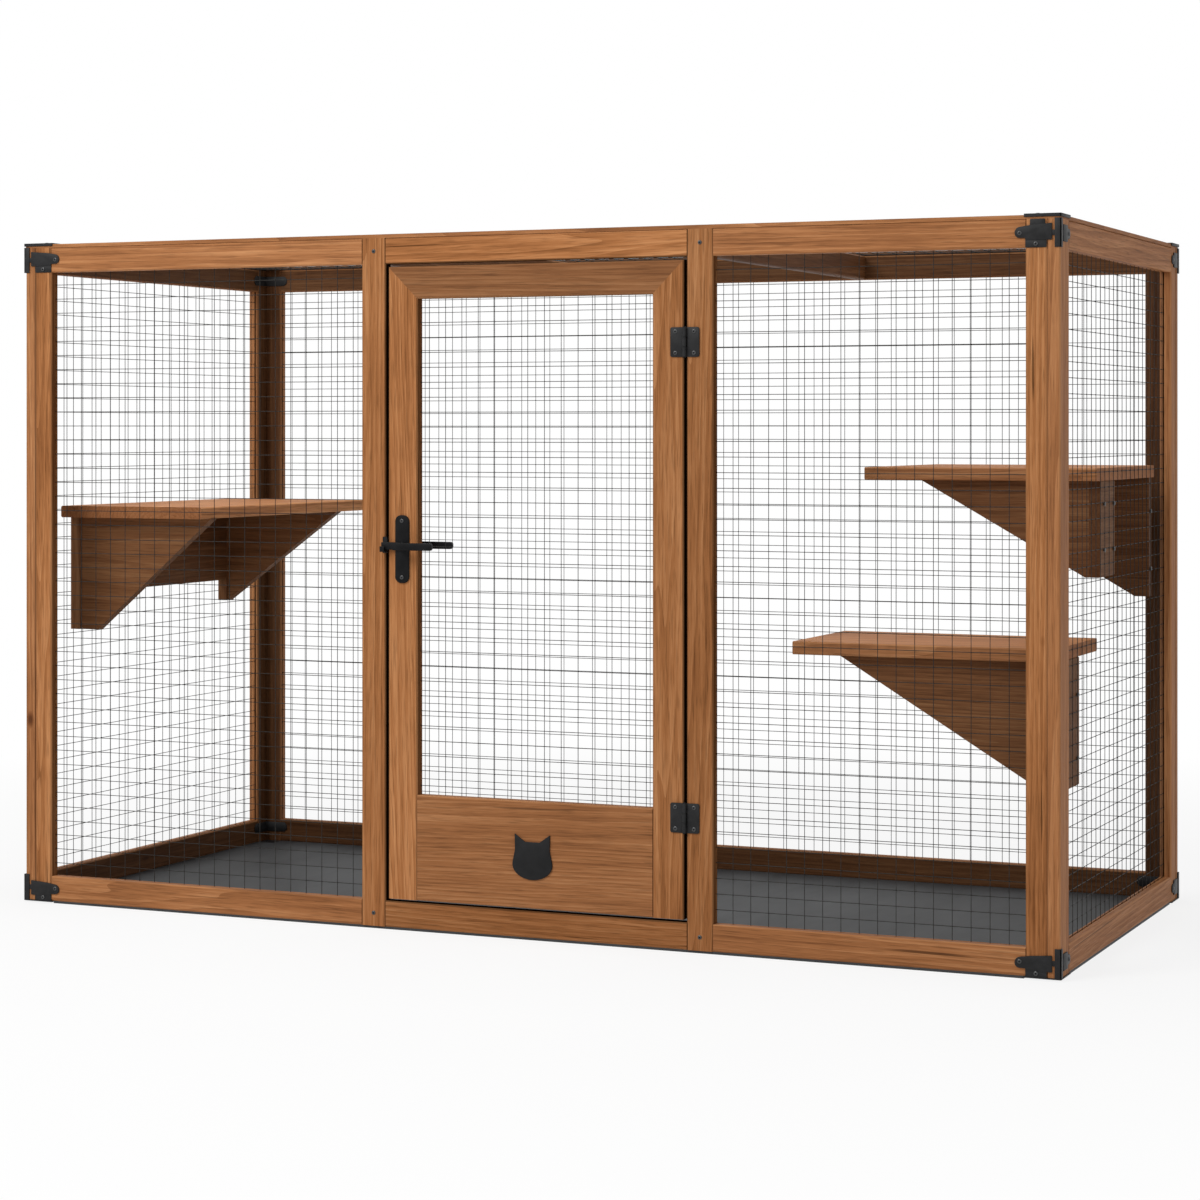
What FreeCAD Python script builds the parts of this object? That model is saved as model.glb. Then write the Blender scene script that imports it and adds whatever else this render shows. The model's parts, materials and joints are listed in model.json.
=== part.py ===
import FreeCAD, Part
import math
import os
import types

import Sketcher

# A cat cage: mesh panels in stained timber frames, a hinged door with a lever latch, three shelves.
# X runs to the right along the front, Y to the back and Z up. The origin is the middle of the underside.

# Driving sizes in millimetres: name, value and what it measures.
SIZES = (
    ("frame_width", 1800, "outside width over the timber"),
    ("frame_depth", 800, "outside depth over the timber"),
    ("frame_height", 1120, "ground to the top of the roof laths"),
    ("panel_thickness", 20, "thickness of every panel member"),
    ("edge_ease", 2, "chamfer on the long edges of the timber"),
    ("rail_height", 42, "height of the top and bottom rails"),
    ("corner_face", 52, "timber seen beside an open corner, stile and panel edge together"),
    ("floor_thickness", 4, "floor sheet under the rails"),
    ("floor_inset", 2, "floor sheet edge inside the timber"),
    ("notch_room", 1, "between a notched edge and what it goes round"),
    ("lath_thickness", 6, "roof laths that clamp the roof mesh"),
    ("lath_gap", 0.3, "between the ends of neighbouring laths"),
    ("lath_rebate", 11.5, "width of the rebate over the mesh edge"),
    ("roof_mesh_edge", 9, "roof wire ends from the outside of the panels"),
    ("beam_width", 20, "roof beams"),
    ("post_width", 43.5, "posts beside the door"),
    ("doorway_width", 522, "clear width between the posts"),
    ("doorway_offset", 52.5, "middle of the doorway from the middle of the cage"),
    ("door_side_gap", 5, "gap between the door and each post"),
    ("door_top_gap", 5, "gap under the header"),
    ("door_bottom_gap", 4, "gap over the sill"),
    ("door_member", 52, "width of the door's stiles and mitred top rail"),
    ("kick_height", 169, "height of the kick panel"),
    ("mesh_setback", 13.5, "outer face of a panel to the middle of its mesh"),
    ("wire_size", 1.2, "wire of the welded mesh"),
    ("weld_gap", 0.04, "between crossing wires"),
    ("pitch_across", 29, "spacing of the upright wires"),
    ("pitch_up", 24, "spacing of the level wires"),
    ("groove_depth", 8, "mesh groove in the timber"),
    ("groove_room", 0.2, "room on each side of the mesh in its groove"),
    ("wire_seat", 7, "wire end inside its groove"),
    ("shelf_thickness", 20, "shelf boards"),
    ("shelf_lip", 22, "right shelf boards past their gussets"),
    ("gusset_thickness", 18, "gussets and cleats"),
    ("upright_depth", 26, "wall uprights of the left shelf"),
    ("left_shelf_top", 673, "ground to the left shelf"),
    ("left_shelf_lip", 30, "left shelf board past its uprights"),
    ("left_shelf_front", 84, "front of the cage to the left shelf"),
    ("left_shelf_width", 281, "left shelf out from the mesh"),
    ("left_shelf_length", 580, "left shelf from front to back"),
    ("left_gusset_height", 195, "left shelf's front gusset and upright"),
    ("left_gusset_foot", 52, "flat foot of the left front gusset, from the mesh"),
    ("left_back_height", 172, "left shelf's back gusset and upright"),
    ("left_back_reach", 255, "left back gusset out from the mesh"),
    ("left_cleat_height", 133, "cleat under the left shelf"),
    ("low_shelf_top", 482, "ground to the lower right shelf"),
    ("low_shelf_front", 30, "front of the cage to the lower right shelf"),
    ("low_shelf_width", 410, "lower right shelf out from the mesh"),
    ("low_shelf_length", 253, "lower right shelf from front to back"),
    ("low_gusset_reach", 343, "lower right gussets out from the mesh"),
    ("low_gusset_height", 195, "lower right gussets and cleat"),
    ("low_gusset_foot", 22, "flat foot of the lower right gussets, from the mesh"),
    ("low_cleat_length", 119, "cleat of the lower right shelf, from front to back"),
    ("high_shelf_top", 745, "ground to the upper right shelf"),
    ("high_shelf_front", 283, "front of the cage to the upper right shelf"),
    ("high_shelf_width", 378, "upper right shelf out from the mesh"),
    ("high_shelf_length", 400, "upper right shelf from front to back"),
    ("high_gusset_reach", 291, "upper right front gusset out from the mesh"),
    ("high_gusset_height", 151, "upper right front gusset and cleat"),
    ("high_gusset_foot", 24, "flat foot of the upper right gussets, from the mesh"),
    ("high_cleat_length", 95, "cleat of the upper right shelf, from front to back"),
    ("high_back_reach", 366, "upper right back gusset out from the mesh"),
    ("high_back_height", 198, "upper right back gusset"),
    ("shelf_screw_room", 0.2, "between a shelf screw's shank and the wires beside it"),
    ("plate_thickness", 2, "steel of brackets, hinges and keeper"),
    ("bracket_drop", 48, "corner bracket down the corner"),
    ("bracket_strip", 8, "strip of the bracket along the corner"),
    ("bracket_slot", 4, "slot between the strip and the plates"),
    ("bracket_plate", 52, "plate of the bracket, from the corner"),
    ("bracket_arm", 68, "arm of the front plate, from the corner"),
    ("bracket_lobe", 52, "lobe of the side plate, from the corner"),
    ("bracket_side_plate", 38, "side plate before its lobe, from the corner"),
    ("bracket_low", 11, "underside of the plates over the end of the bracket"),
    ("bracket_high", 32, "upper edge of the plates over the end of the bracket"),
    ("bracket_arm_height", 15, "height of the arms"),
    ("bracket_arm_clip", 4.4, "clipped corners at the ends of the arms"),
    ("bracket_tab", 20, "start of the lower tab, from the corner"),
    ("bracket_top", 54, "top plate, from the corner"),
    ("inner_arm", 46, "arms of the inner angle brackets"),
    ("inner_height", 18, "height of the inner angle brackets"),
    ("inner_clip", 5, "clipped corners of the inner angle brackets"),
    ("end_flat", 0.5, "flat left between two rounded corners of an end"),
    ("screw_head", 3.4, "radius of the screw heads"),
    ("screw_crown", 2, "radius of the flat on the screw heads"),
    ("screw_dome", 1.3, "height of the screw heads"),
    ("screw_shank", 1.7, "radius of the screw shanks"),
    ("screw_length", 15, "screw shanks under the head"),
    ("screw_hole", 1.9, "radius of the screw holes in steel"),
    ("hinge_top", 940, "ground to the middle of the upper hinge"),
    ("hinge_spacing", 733, "between the two hinges"),
    ("hinge_height", 46, "hinge leaves and barrel"),
    ("leaf_reach", 24, "hinge leaf out from the pin"),
    ("leaf_screw_out", 15.4, "hinge screws out from the pin"),
    ("leaf_screw_edge", 6.4, "hinge screws from the ends of the leaf"),
    ("barrel_radius", 3.5, "hinge barrel"),
    ("barrel_room", 0.5, "between a leaf and the other leaf's knuckle"),
    ("knuckle_room", 0.3, "between knuckles along the pin"),
    ("pin_radius", 1.5, "hinge pin"),
    ("pin_room", 0.05, "running clearance of pin and spindle"),
    ("pin_head", 2.4, "radius of the pin's heads"),
    ("pin_head_height", 1, "height of the pin's heads"),
    ("latch_plate_width", 25, "latch plates"),
    ("latch_plate_height", 109, "latch plates"),
    ("latch_plate_thickness", 3, "latch plates"),
    ("latch_plate_corner", 10, "corner radius of the latch plates"),
    ("latch_plate_middle", 613, "ground to the middle of the latch plates"),
    ("latch_screw_edge", 9, "latch screws from the ends of the plate"),
    ("latch_screw_length", 11, "latch screw shanks under the head"),
    ("spindle_height", 618, "ground to the lever spindle"),
    ("spindle_radius", 3.5, "lever spindle"),
    ("spindle_seat", 10, "spindle end inside each lever"),
    ("spindle_bore", 8, "radius of the bore through the door stile"),
    ("spring_outer", 7.5, "outside radius of the return spring"),
    ("spring_inner", 5, "inside radius of the return spring"),
    ("neck_radius", 5.5, "neck of the levers"),
    ("neck_room", 0.3, "between a lever's neck and its plate"),
    ("lever_stand", 23, "door face to the back of the lever bar"),
    ("lever_bar", 8, "lever bar from front to back"),
    ("lever_height", 12, "lever bar and tail"),
    ("lever_reach", 66, "lever bar past the spindle"),
    ("tail_reach", 35, "tail of the outer lever past the spindle"),
    ("tail_thickness", 5, "tail from front to back"),
    ("tail_room", 0.5, "between the tail and the latch plate"),
    ("keeper_hold", 4.4, "keeper on the face of the post"),
    ("keeper_room", 1.2, "between the keeper and the door's edge"),
    ("keeper_height", 26, "keeper on the post"),
    ("keeper_ledge", 3, "thickness of the keeper's ledge"),
    ("keeper_drop", 0.6, "between the tail and the ledge under it"),
    ("keeper_gap", 9, "gap in the keeper for the tail, from front to back"),
    ("keeper_lip", 6, "height of the keeper's lip over its ledge"),
    ("plaque_width", 69, "cat head plaque"),
    ("plaque_height", 48, "oval of the cheeks"),
    ("plaque_middle", 119.5, "ground to the middle of the cheeks"),
    ("plaque_thickness", 2.5, "cat head plaque"),
    ("ear_tip_up", 48, "ear tips over the middle of the cheeks"),
    ("ear_tip_out", 30.5, "ear tips to the side of the middle"),
    ("ear_root_up", 35.5, "inner ear roots over the middle of the cheeks"),
    ("ear_root_in", 12.5, "inner ear roots to the side of the middle"),
    ("temple_up", 22.5, "narrow place under the ears over the middle of the cheeks"),
    ("temple_out", 30, "narrow place under the ears to the side of the middle"),
)

doc = FreeCAD.newDocument("CatCage")
sheet = doc.addObject("Spreadsheet::Sheet", "Sizes")
AXES = {"x": FreeCAD.Vector(1, 0, 0), "y": FreeCAD.Vector(0, 1, 0), "z": FreeCAD.Vector(0, 0, 1)}
PLANES = {"x": "YZ_Plane", "y": "XZ_Plane", "z": "XY_Plane"}
SECTION_AXES = {"x": (1, 2, 0), "y": (0, 2, 1), "z": (0, 1, 2)}
HEAD_SIDES = 6
SHANK_SIDES = 6
HOLE_SIDES = 8
BARREL_SIDES = 12
CHEEK_SIDES = 25
CHEEK_RISE = math.radians(8)
NODES = {}


class Size:
    """A length in millimetres, with the sheet expression that it comes from."""

    def __init__(self, text, value):
        self.text = text
        self.value = value

    def joined(self, sign, other, value):
        return Size("(%s %s %s)" % (self.text, sign, sized(other).text), value)

    def __neg__(self):
        return Size("(-%s)" % self.text, -self.value)

    def __add__(self, other):
        return self.joined("+", other, self.value + sized(other).value)

    def __sub__(self, other):
        return self.joined("-", other, self.value - sized(other).value)

    def __mul__(self, other):
        return self.joined("*", other, self.value * sized(other).value)

    def __truediv__(self, other):
        return self.joined("/", other, self.value / sized(other).value)


def sized(size):
    if isinstance(size, Size):
        return size
    return Size(repr(float(size)), float(size))


def fill_sheet():
    for row, (name, value, meaning) in enumerate(SIZES, 1):
        sheet.set("A%d" % row, name)
        sheet.set("B%d" % row, str(value))
        sheet.set("C%d" % row, meaning)
        sheet.setAlias("B%d" % row, name)
    doc.recompute()
    return {name: Size("Sizes." + name, float(sheet.get(name))) for name, _, _ in SIZES}


s = types.SimpleNamespace(**fill_sheet())

# Planes that several pieces share, worked out from the sheet.
left = s.frame_width / -2
right = s.frame_width / 2
front = s.frame_depth / -2
back = s.frame_depth / 2
front_inner = front + s.panel_thickness
back_inner = back - s.panel_thickness
left_inner = left + s.panel_thickness
right_inner = right - s.panel_thickness
timber_low = s.floor_thickness
timber_high = s.frame_height - s.lath_thickness
timber_height = timber_high - timber_low
rail_low_top = timber_low + s.rail_height
rail_high_bottom = timber_high - s.rail_height
open_span = (rail_low_top, rail_high_bottom)
narrow_stile = s.corner_face - s.panel_thickness
doorway_left = s.doorway_offset - s.doorway_width / 2
doorway_right = s.doorway_offset + s.doorway_width / 2
post_left = doorway_left - s.post_width
post_right = doorway_right + s.post_width
door_left = doorway_left + s.door_side_gap
door_right = doorway_right - s.door_side_gap
door_width = door_right - door_left
door_low = rail_low_top + s.door_bottom_gap
door_high = rail_high_bottom - s.door_top_gap
door_height = door_high - door_low
kick_top = door_low + s.kick_height
groove_width = s.wire_size * 2 + s.weld_gap + s.groove_room * 2
net_half = s.wire_size + s.weld_gap / 2
mesh_from_inner = s.panel_thickness - s.mesh_setback
hinge_x = doorway_right - s.door_side_gap / 2
hinge_y = front - s.barrel_radius
latch_x = door_left + s.door_member / 2


def bind(thing, path, size):
    thing.setExpression(path, sized(size).text)


def new_body(label, at):
    body = doc.addObject("PartDesign::Body", label)
    body.Label = label
    body.AllowCompound = True
    for axis, place in zip("xyz", at):
        bind(body, "Placement.Base." + axis, place)
    NODES[label] = body
    return body


def tie(sketch, kind, corner, size):
    """Hold one corner of an outline at its distance from the sketch's origin."""
    size = sized(size)
    if size.text == "0.0":
        axis = -2 if kind == "DistanceX" else -1
        sketch.addConstraint(Sketcher.Constraint("PointOnObject", corner, 1, axis))
        return
    index = sketch.addConstraint(Sketcher.Constraint(kind, -1, 1, corner, 1, size.value))
    bind(sketch, "Constraints[%d]" % index, size)


def draw_outline(sketch, points):
    spots = [FreeCAD.Vector(sized(u).value, sized(v).value, 0) for u, v in points]
    following = spots[1:] + spots[:1]
    for start, end in zip(spots, following):
        sketch.addGeometry(Part.LineSegment(start, end), False)
    for corner in range(len(points)):
        after = (corner + 1) % len(points)
        sketch.addConstraint(Sketcher.Constraint("Coincident", corner, 2, after, 1))
    for corner, (u, v) in enumerate(points):
        tie(sketch, "DistanceX", corner, u)
        tie(sketch, "DistanceY", corner, v)


def draw_disc(sketch, radius):
    sketch.addGeometry(Part.Circle(FreeCAD.Vector(), AXES["z"], sized(radius).value), False)
    sketch.addConstraint(Sketcher.Constraint("Coincident", 0, 3, -1, 1))
    index = sketch.addConstraint(Sketcher.Constraint("Radius", 0, sized(radius).value))
    bind(sketch, "Constraints[%d]" % index, radius)


def new_sketch(body, along, at):
    """A sketch square to one axis of the body, with its origin at a place in the body."""
    sketch = body.newObject("Sketcher::SketchObject", "Section")
    plane = next(f for f in body.Origin.OriginFeatures if f.Role == PLANES[along])
    sketch.AttachmentSupport = [(plane, "")]
    sketch.MapMode = "FlatFace"
    x, y, z = [sized(place) for place in at]
    offsets = {"x": (y, z, x), "y": (x, z, -y), "z": (x, y, z)}[along]
    for axis, place in zip("xyz", offsets):
        bind(sketch, "AttachmentOffset.Base." + axis, place)
    return sketch


def raised(body, along, shape, depth, at=(0, 0, 0), cut=False):
    """Pad an outline or a disc along an axis, or cut it away; shape is corners or a radius."""
    before = body.Shape.Volume if cut else 0
    sketch = new_sketch(body, along, at)
    if isinstance(shape, list):
        draw_outline(sketch, shape)
    else:
        draw_disc(sketch, shape)
    feature = body.newObject("PartDesign::Pocket" if cut else "PartDesign::Pad", "Feature")
    feature.Profile = sketch
    bind(feature, "Length", depth)
    feature.Reversed = (along == "y") != cut
    doc.recompute()
    if cut and not feature.Shape.Volume < before:
        raise RuntimeError("a cut in %s took nothing away" % body.Label)
    return feature


def oblong(wide, high):
    return [(0, 0), (wide, 0), (wide, high), (0, high)]


def edges_along(feature, along, chosen):
    """Names of a feature's straight edges that run along an axis and pass a test of their middle."""
    names = []
    for number, edge in enumerate(feature.Shape.Edges, 1):
        straight = isinstance(edge.Curve, Part.Line)
        if straight and abs(edge.Curve.Direction.dot(AXES[along])) > 0.999:
            if chosen is None or chosen(edge.CenterOfMass):
                names.append("Edge%d" % number)
    return names


def rounded(body, feature, along, radius, chosen=None):
    fillet = body.newObject("PartDesign::Fillet", "Round")
    fillet.Base = (feature, edges_along(feature, along, chosen))
    bind(fillet, "Radius", radius)
    doc.recompute()
    return fillet


def eased(body, feature, along, size, chosen=None):
    chamfer = body.newObject("PartDesign::Chamfer", "Ease")
    chamfer.Base = (feature, edges_along(feature, along, chosen))
    bind(chamfer, "Size", size)
    doc.recompute()
    return chamfer


def sided(sides, reach):
    """A regular outline round the sketch's origin, with its flats at a reach; sides in multiples of four."""
    corners = []
    for number in range(sides):
        angle = 2 * math.pi * (number + 0.5) / sides
        stretch = 1 / math.cos(math.pi / sides)
        corners.append((reach * (math.cos(angle) * stretch), reach * (math.sin(angle) * stretch)))
    return corners


def screw_hole():
    return sided(HOLE_SIDES, s.screw_hole)


def repeated(body, features, axis, spacing):
    """Repeat features once along an axis of the body."""
    pattern = body.newObject("PartDesign::LinearPattern", "Pair")
    pattern.Originals = features
    line = next(f for f in body.Origin.OriginFeatures if f.Role == axis.upper() + "_Axis")
    pattern.Direction = (line, [""])
    bind(pattern, "Length", spacing)
    pattern.Occurrences = 2
    body.Tip = pattern
    doc.recompute()
    return pattern


def groove(body, along, size, face, thick_axis, centre):
    """Cut the mesh groove along one face of a member; face is an axis with its sign, such as +x."""
    across = "xyz".index(face[1])
    thick = "xyz".index(thick_axis)
    low = [sized(0), sized(0), sized(0)]
    wide = list(size)
    wide[across] = s.groove_depth
    wide[thick] = groove_width
    low[thick] = centre - groove_width / 2
    if face[0] == "+":
        low[across] = size[across] - s.groove_depth
    u, v, w = SECTION_AXES[along]
    return raised(body, along, oblong(wide[u], wide[v]), size[w], low, cut=True)


def timber(label, along, size, at, grooves=()):
    """A planed member with eased long edges and any mesh grooves; sizes are in X, Y, Z order."""
    body = new_body(label, at)
    u, v, w = SECTION_AXES[along]
    blank = raised(body, along, oblong(size[u], size[v]), size[w])
    eased(body, blank, along, s.edge_ease)
    for face, thick_axis, centre in grooves:
        groove(body, along, size, face, thick_axis, centre)
    return body


def make_front():
    deep = s.panel_thickness
    mesh = ("y", s.mesh_setback)
    stile = (narrow_stile, deep, timber_height)
    timber("front_left_stile", "z", stile, (left_inner, front, timber_low), [("+x", *mesh)])
    timber("front_right_stile", "z", stile, (right_inner - narrow_stile, front, timber_low), [("-x", *mesh)])
    post = (s.post_width, deep, timber_height)
    timber("left_door_post", "z", post, (post_left, front, timber_low), [("-x", *mesh)])
    timber("right_door_post", "z", post, (doorway_right, front, timber_low), [("+x", *mesh)])
    bays = (
        ("front_left", left + s.corner_face, post_left),
        ("front_right", post_right, right - s.corner_face),
    )
    for name, start, end in bays:
        rail = (end - start, deep, s.rail_height)
        timber(name + "_top_rail", "x", rail, (start, front, rail_high_bottom), [("-z", *mesh)])
        timber(name + "_bottom_rail", "x", rail, (start, front, timber_low), [("+z", *mesh)])
        make_net(name + "_mesh", "y", front + s.mesh_setback, -1, (start, end), open_span)
    beam = (s.doorway_width, deep, s.rail_height)
    timber("door_header", "x", beam, (doorway_left, front, rail_high_bottom))
    timber("door_sill", "x", beam, (doorway_left, front, timber_low))


def make_sides():
    wide = s.panel_thickness
    length = back_inner - front
    sides = (
        ("left", left, -1, s.mesh_setback),
        ("right", right_inner, 1, mesh_from_inner),
    )
    start = front + s.corner_face
    end = back - s.corner_face
    for name, x, outward, centre in sides:
        mesh = ("x", centre)
        front_stile = (wide, s.corner_face, timber_height)
        timber(name + "_front_stile", "z", front_stile, (x, front, timber_low), [("+y", *mesh)])
        back_stile = (wide, narrow_stile, timber_height)
        timber(name + "_back_stile", "z", back_stile, (x, end, timber_low), [("-y", *mesh)])
        rail = (wide, length - s.corner_face - narrow_stile, s.rail_height)
        timber(name + "_top_rail", "y", rail, (x, start, rail_high_bottom), [("-z", *mesh)])
        timber(name + "_bottom_rail", "y", rail, (x, start, timber_low), [("+z", *mesh)])
        make_net(name + "_mesh", "x", x + centre, outward, (start, end), open_span)


def make_back():
    deep = s.panel_thickness
    mesh = ("y", mesh_from_inner)
    stile = (s.corner_face, deep, timber_height)
    start = left + s.corner_face
    end = right - s.corner_face
    timber("back_left_stile", "z", stile, (left, back_inner, timber_low), [("+x", *mesh)])
    timber("back_right_stile", "z", stile, (end, back_inner, timber_low), [("-x", *mesh)])
    rail = (end - start, deep, s.rail_height)
    timber("back_top_rail", "x", rail, (start, back_inner, rail_high_bottom), [("-z", *mesh)])
    timber("back_bottom_rail", "x", rail, (start, back_inner, timber_low), [("+z", *mesh)])
    make_net("back_mesh", "y", back_inner + mesh_from_inner, 1, (start, end), open_span)


def make_net(label, flat, centre, outward, across_span, up_span, seat=None):
    """Welded wire between four members: upright wires outside, level wires inside, ends in the grooves."""
    seat = s.wire_seat if seat is None else seat
    across, up = {"x": (1, 2), "y": (0, 2), "z": (0, 1)}[flat]
    thick = "xyz".index(flat)
    spans = {across: across_span, up: up_span}
    step = outward * net_half.value / 2
    pitches = {across: s.pitch_across, up: s.pitch_up}
    wires = []
    for spaced, run, middle in ((across, up, centre.value + step), (up, across, centre.value - step)):
        low = [0.0, 0.0, 0.0]
        size = [s.wire_size.value] * 3
        low[thick] = middle - s.wire_size.value / 2
        low[run] = spans[run][0].value - seat.value
        size[run] = spans[run][1].value + seat.value - low[run]
        for place in wire_middles(spans[spaced], pitches[spaced]):
            low[spaced] = place - s.wire_size.value / 2
            wires.append(Part.makeBox(*size, FreeCAD.Vector(*low)))
    group_of_solids(label, wires)


def wire_middles(span, pitch):
    """Middles of evenly spaced wires, centred between two members."""
    start, end = [place.value for place in span]
    count = int((end - start) / pitch.value)
    first = (start + end - (count - 1) * pitch.value) / 2
    return [first + number * pitch.value for number in range(count)]


def group_of_solids(label, solids):
    node = doc.addObject("Part::Feature", label)
    node.Label = label
    node.Shape = Part.makeCompound(solids)
    NODES[label] = node


def make_roof():
    beam = (s.beam_width, back_inner - front_inner, s.rail_height)
    first = post_left + s.post_width / 2 - s.beam_width / 2
    spacing = s.doorway_width + s.post_width
    body = timber("roof_beams", "y", beam, (first, front_inner, rail_high_bottom))
    repeated(body, body.Group[1:2] + body.Group[2:3], "x", spacing)
    edge = s.roof_mesh_edge
    seat = sized(0)
    across_span = (left + edge, right - edge)
    make_net("roof_mesh", "z", timber_high + net_half, 1, across_span, (front + edge, back - edge), seat)
    make_laths()


def make_laths():
    """Four laths round the roof, rebated over the ends of the roof wires."""
    body = new_body("roof_laths", (left, front, timber_high))
    wide = s.panel_thickness
    start = wide + s.lath_gap
    long_lath = oblong(s.frame_width, wide)
    short_lath = oblong(wide, s.frame_depth - start * 2)
    raised(body, "z", long_lath, s.lath_thickness)
    raised(body, "z", long_lath, s.lath_thickness, (0, s.frame_depth - wide, 0))
    raised(body, "z", short_lath, s.lath_thickness, (0, start, 0))
    raised(body, "z", short_lath, s.lath_thickness, (s.frame_width - wide, start, 0))
    inset = wide - s.lath_rebate
    rebate = oblong(s.frame_width - inset * 2, s.frame_depth - inset * 2)
    raised(body, "z", rebate, net_half * 2 + s.groove_room, (inset, inset, 0), cut=True)


def make_floor():
    body = new_body("floor_sheet", (left + s.floor_inset, front + s.floor_inset, 0))
    notch = s.bracket_top + s.notch_room - s.floor_inset
    wide = s.frame_width - s.floor_inset * 2
    deep = s.frame_depth - s.floor_inset * 2
    points = [(notch, 0), (wide - notch, 0), (wide - notch, notch), (wide, notch)]
    points += [(wide, deep - notch), (wide - notch, deep - notch), (wide - notch, deep), (notch, deep)]
    points += [(notch, deep - notch), (0, deep - notch), (0, notch), (notch, notch)]
    raised(body, "z", points, s.floor_thickness)


def gusset(body, along, start, foot, reach, height):
    """A triangular gusset under a shelf, measured out from the wall; without a foot it ends in a point."""
    toe = [(start, -height)] if foot is None else [(start, -height), (foot, -height)]
    raised(body, "y", toe + [(reach, 0), (start, 0)], s.gusset_thickness, (0, along, 0))


def left_shelf_spacing():
    return s.left_shelf_length - s.left_shelf_lip * 2 - s.upright_depth


def make_left_shelf():
    wall = left + s.mesh_setback + net_half
    underside = s.left_shelf_top - s.shelf_thickness
    start = front + s.left_shelf_front
    board = (s.left_shelf_width, s.left_shelf_length, s.shelf_thickness)
    timber("left_shelf_board", "y", board, (wall, start, underside))
    upright_start = start + s.left_shelf_lip
    spacing = left_shelf_spacing()
    thick = s.gusset_thickness
    uprights = new_body("left_shelf_uprights", (wall, upright_start, underside))
    section = oblong(thick, s.upright_depth)
    raised(uprights, "z", section, s.left_gusset_height, (0, 0, -s.left_gusset_height))
    raised(uprights, "z", section, s.left_back_height, (0, spacing, -s.left_back_height))
    setback = (s.upright_depth - thick) / 2
    gussets = new_body("left_shelf_gussets", (wall, upright_start + setback, underside))
    gusset(gussets, 0, thick, s.left_gusset_foot, s.left_shelf_width, s.left_gusset_height)
    gusset(gussets, spacing, thick, None, s.left_back_reach, s.left_back_height)
    cleat = (thick, spacing - s.upright_depth, s.left_cleat_height)
    cleat_place = (wall, upright_start + s.upright_depth, underside - s.left_cleat_height)
    timber("left_shelf_cleat", "y", cleat, cleat_place)


def make_right_shelf(name, top, from_front, size, cleat_length, cleat_height):
    """Board and cleat of a right shelf; hands back the body of its gussets, at the front of the cleat."""
    wall = right - s.mesh_setback - net_half
    underside = top - s.shelf_thickness
    start = front + from_front
    width = size[0]
    board = timber(name + "_shelf_board", "x", size, (wall - width, start, underside))
    stile_back = s.corner_face + s.notch_room
    if from_front.value < stile_back.value:
        notch = oblong(wall - right_inner + s.notch_room, stile_back - from_front)
        place = (right_inner - s.notch_room - wall + width, 0, 0)
        raised(board, "z", notch, s.shelf_thickness, place, cut=True)
    cleat = (s.gusset_thickness, cleat_length, cleat_height)
    cleat_start = start + s.shelf_lip
    cleat_place = (wall - s.gusset_thickness, cleat_start, underside - cleat_height)
    timber(name + "_shelf_cleat", "y", cleat, cleat_place)
    return new_body(name + "_shelf_gussets", (wall, cleat_start, underside))


def make_right_shelves():
    thick = s.gusset_thickness
    lower_size = (s.low_shelf_width, s.low_shelf_length, s.shelf_thickness)
    lower_cleat = (s.low_cleat_length, s.low_gusset_height)
    lower = make_right_shelf("lower", s.low_shelf_top, s.low_shelf_front, lower_size, *lower_cleat)
    for along in (0, s.low_cleat_length - thick):
        gusset(lower, along, -thick, -s.low_gusset_foot, -s.low_gusset_reach, s.low_gusset_height)
    upper_size = (s.high_shelf_width, s.high_shelf_length, s.shelf_thickness)
    upper_cleat = (s.high_cleat_length, s.high_gusset_height)
    upper = make_right_shelf("upper", s.high_shelf_top, s.high_shelf_front, upper_size, *upper_cleat)
    gusset(upper, 0, -thick, -s.high_gusset_foot, -s.high_gusset_reach, s.high_gusset_height)
    gusset(upper, high_back_gusset(), 0, -s.high_gusset_foot, -s.high_back_reach, s.high_back_height)


def high_back_gusset():
    """Front of the upper right shelf's back gusset, from the front of its cleat."""
    return s.high_shelf_length - s.shelf_lip * 2 - s.gusset_thickness


def bracket_outline(plate, arm, tab):
    """Corner strip, bridge, plate with an arm and, where asked, a tab down the stile."""
    strip = s.bracket_strip
    edge = s.bracket_strip + s.bracket_slot
    low = s.bracket_low
    high = s.bracket_high
    middle = (low + high) / 2
    half_arm = s.bracket_arm_height / 2
    half_bridge = s.bracket_slot
    lap = -s.plate_thickness
    points = [(lap, 0), (strip, 0), (strip, middle - half_bridge), (edge, middle - half_bridge), (edge, low)]
    if tab:
        points += [(s.bracket_tab, low), (s.bracket_tab, 0), (plate, 0)]
    else:
        points += [(plate, low)]
    points += [(plate, middle - half_arm), (arm, middle - half_arm), (arm, middle + half_arm)]
    points += [(plate, middle + half_arm), (plate, high), (edge, high), (edge, middle + half_bridge)]
    points += [(strip, middle + half_bridge), (strip, s.bracket_drop), (lap, s.bracket_drop)]
    return points


def mirrored(source, label, normal, base=None):
    """The source and its mirror image as one group."""
    image = doc.addObject("Part::Mirroring", label + "_image")
    image.Source = source
    image.Normal = AXES[normal]
    if base is not None:
        bind(image, "Base." + normal, base)
    group = doc.addObject("Part::Compound", label)
    group.Links = [source, image]
    return group


def four_corners(body):
    """Repeat a corner fitting at the four upright edges of the cage."""
    del NODES[body.Label]
    pair = mirrored(body, body.Label + "_pair", "x")
    return mirrored(pair, body.Label + "_four", "y")


def keep_group(group, label):
    group.Label = label
    NODES[label] = group
    doc.recompute()


def bracket_levels():
    """The low end of the upper and lower corner brackets, and where the plate over the end lies above it."""
    return ((s.frame_height - s.bracket_drop, s.bracket_drop), (timber_low, -s.plate_thickness))


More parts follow.
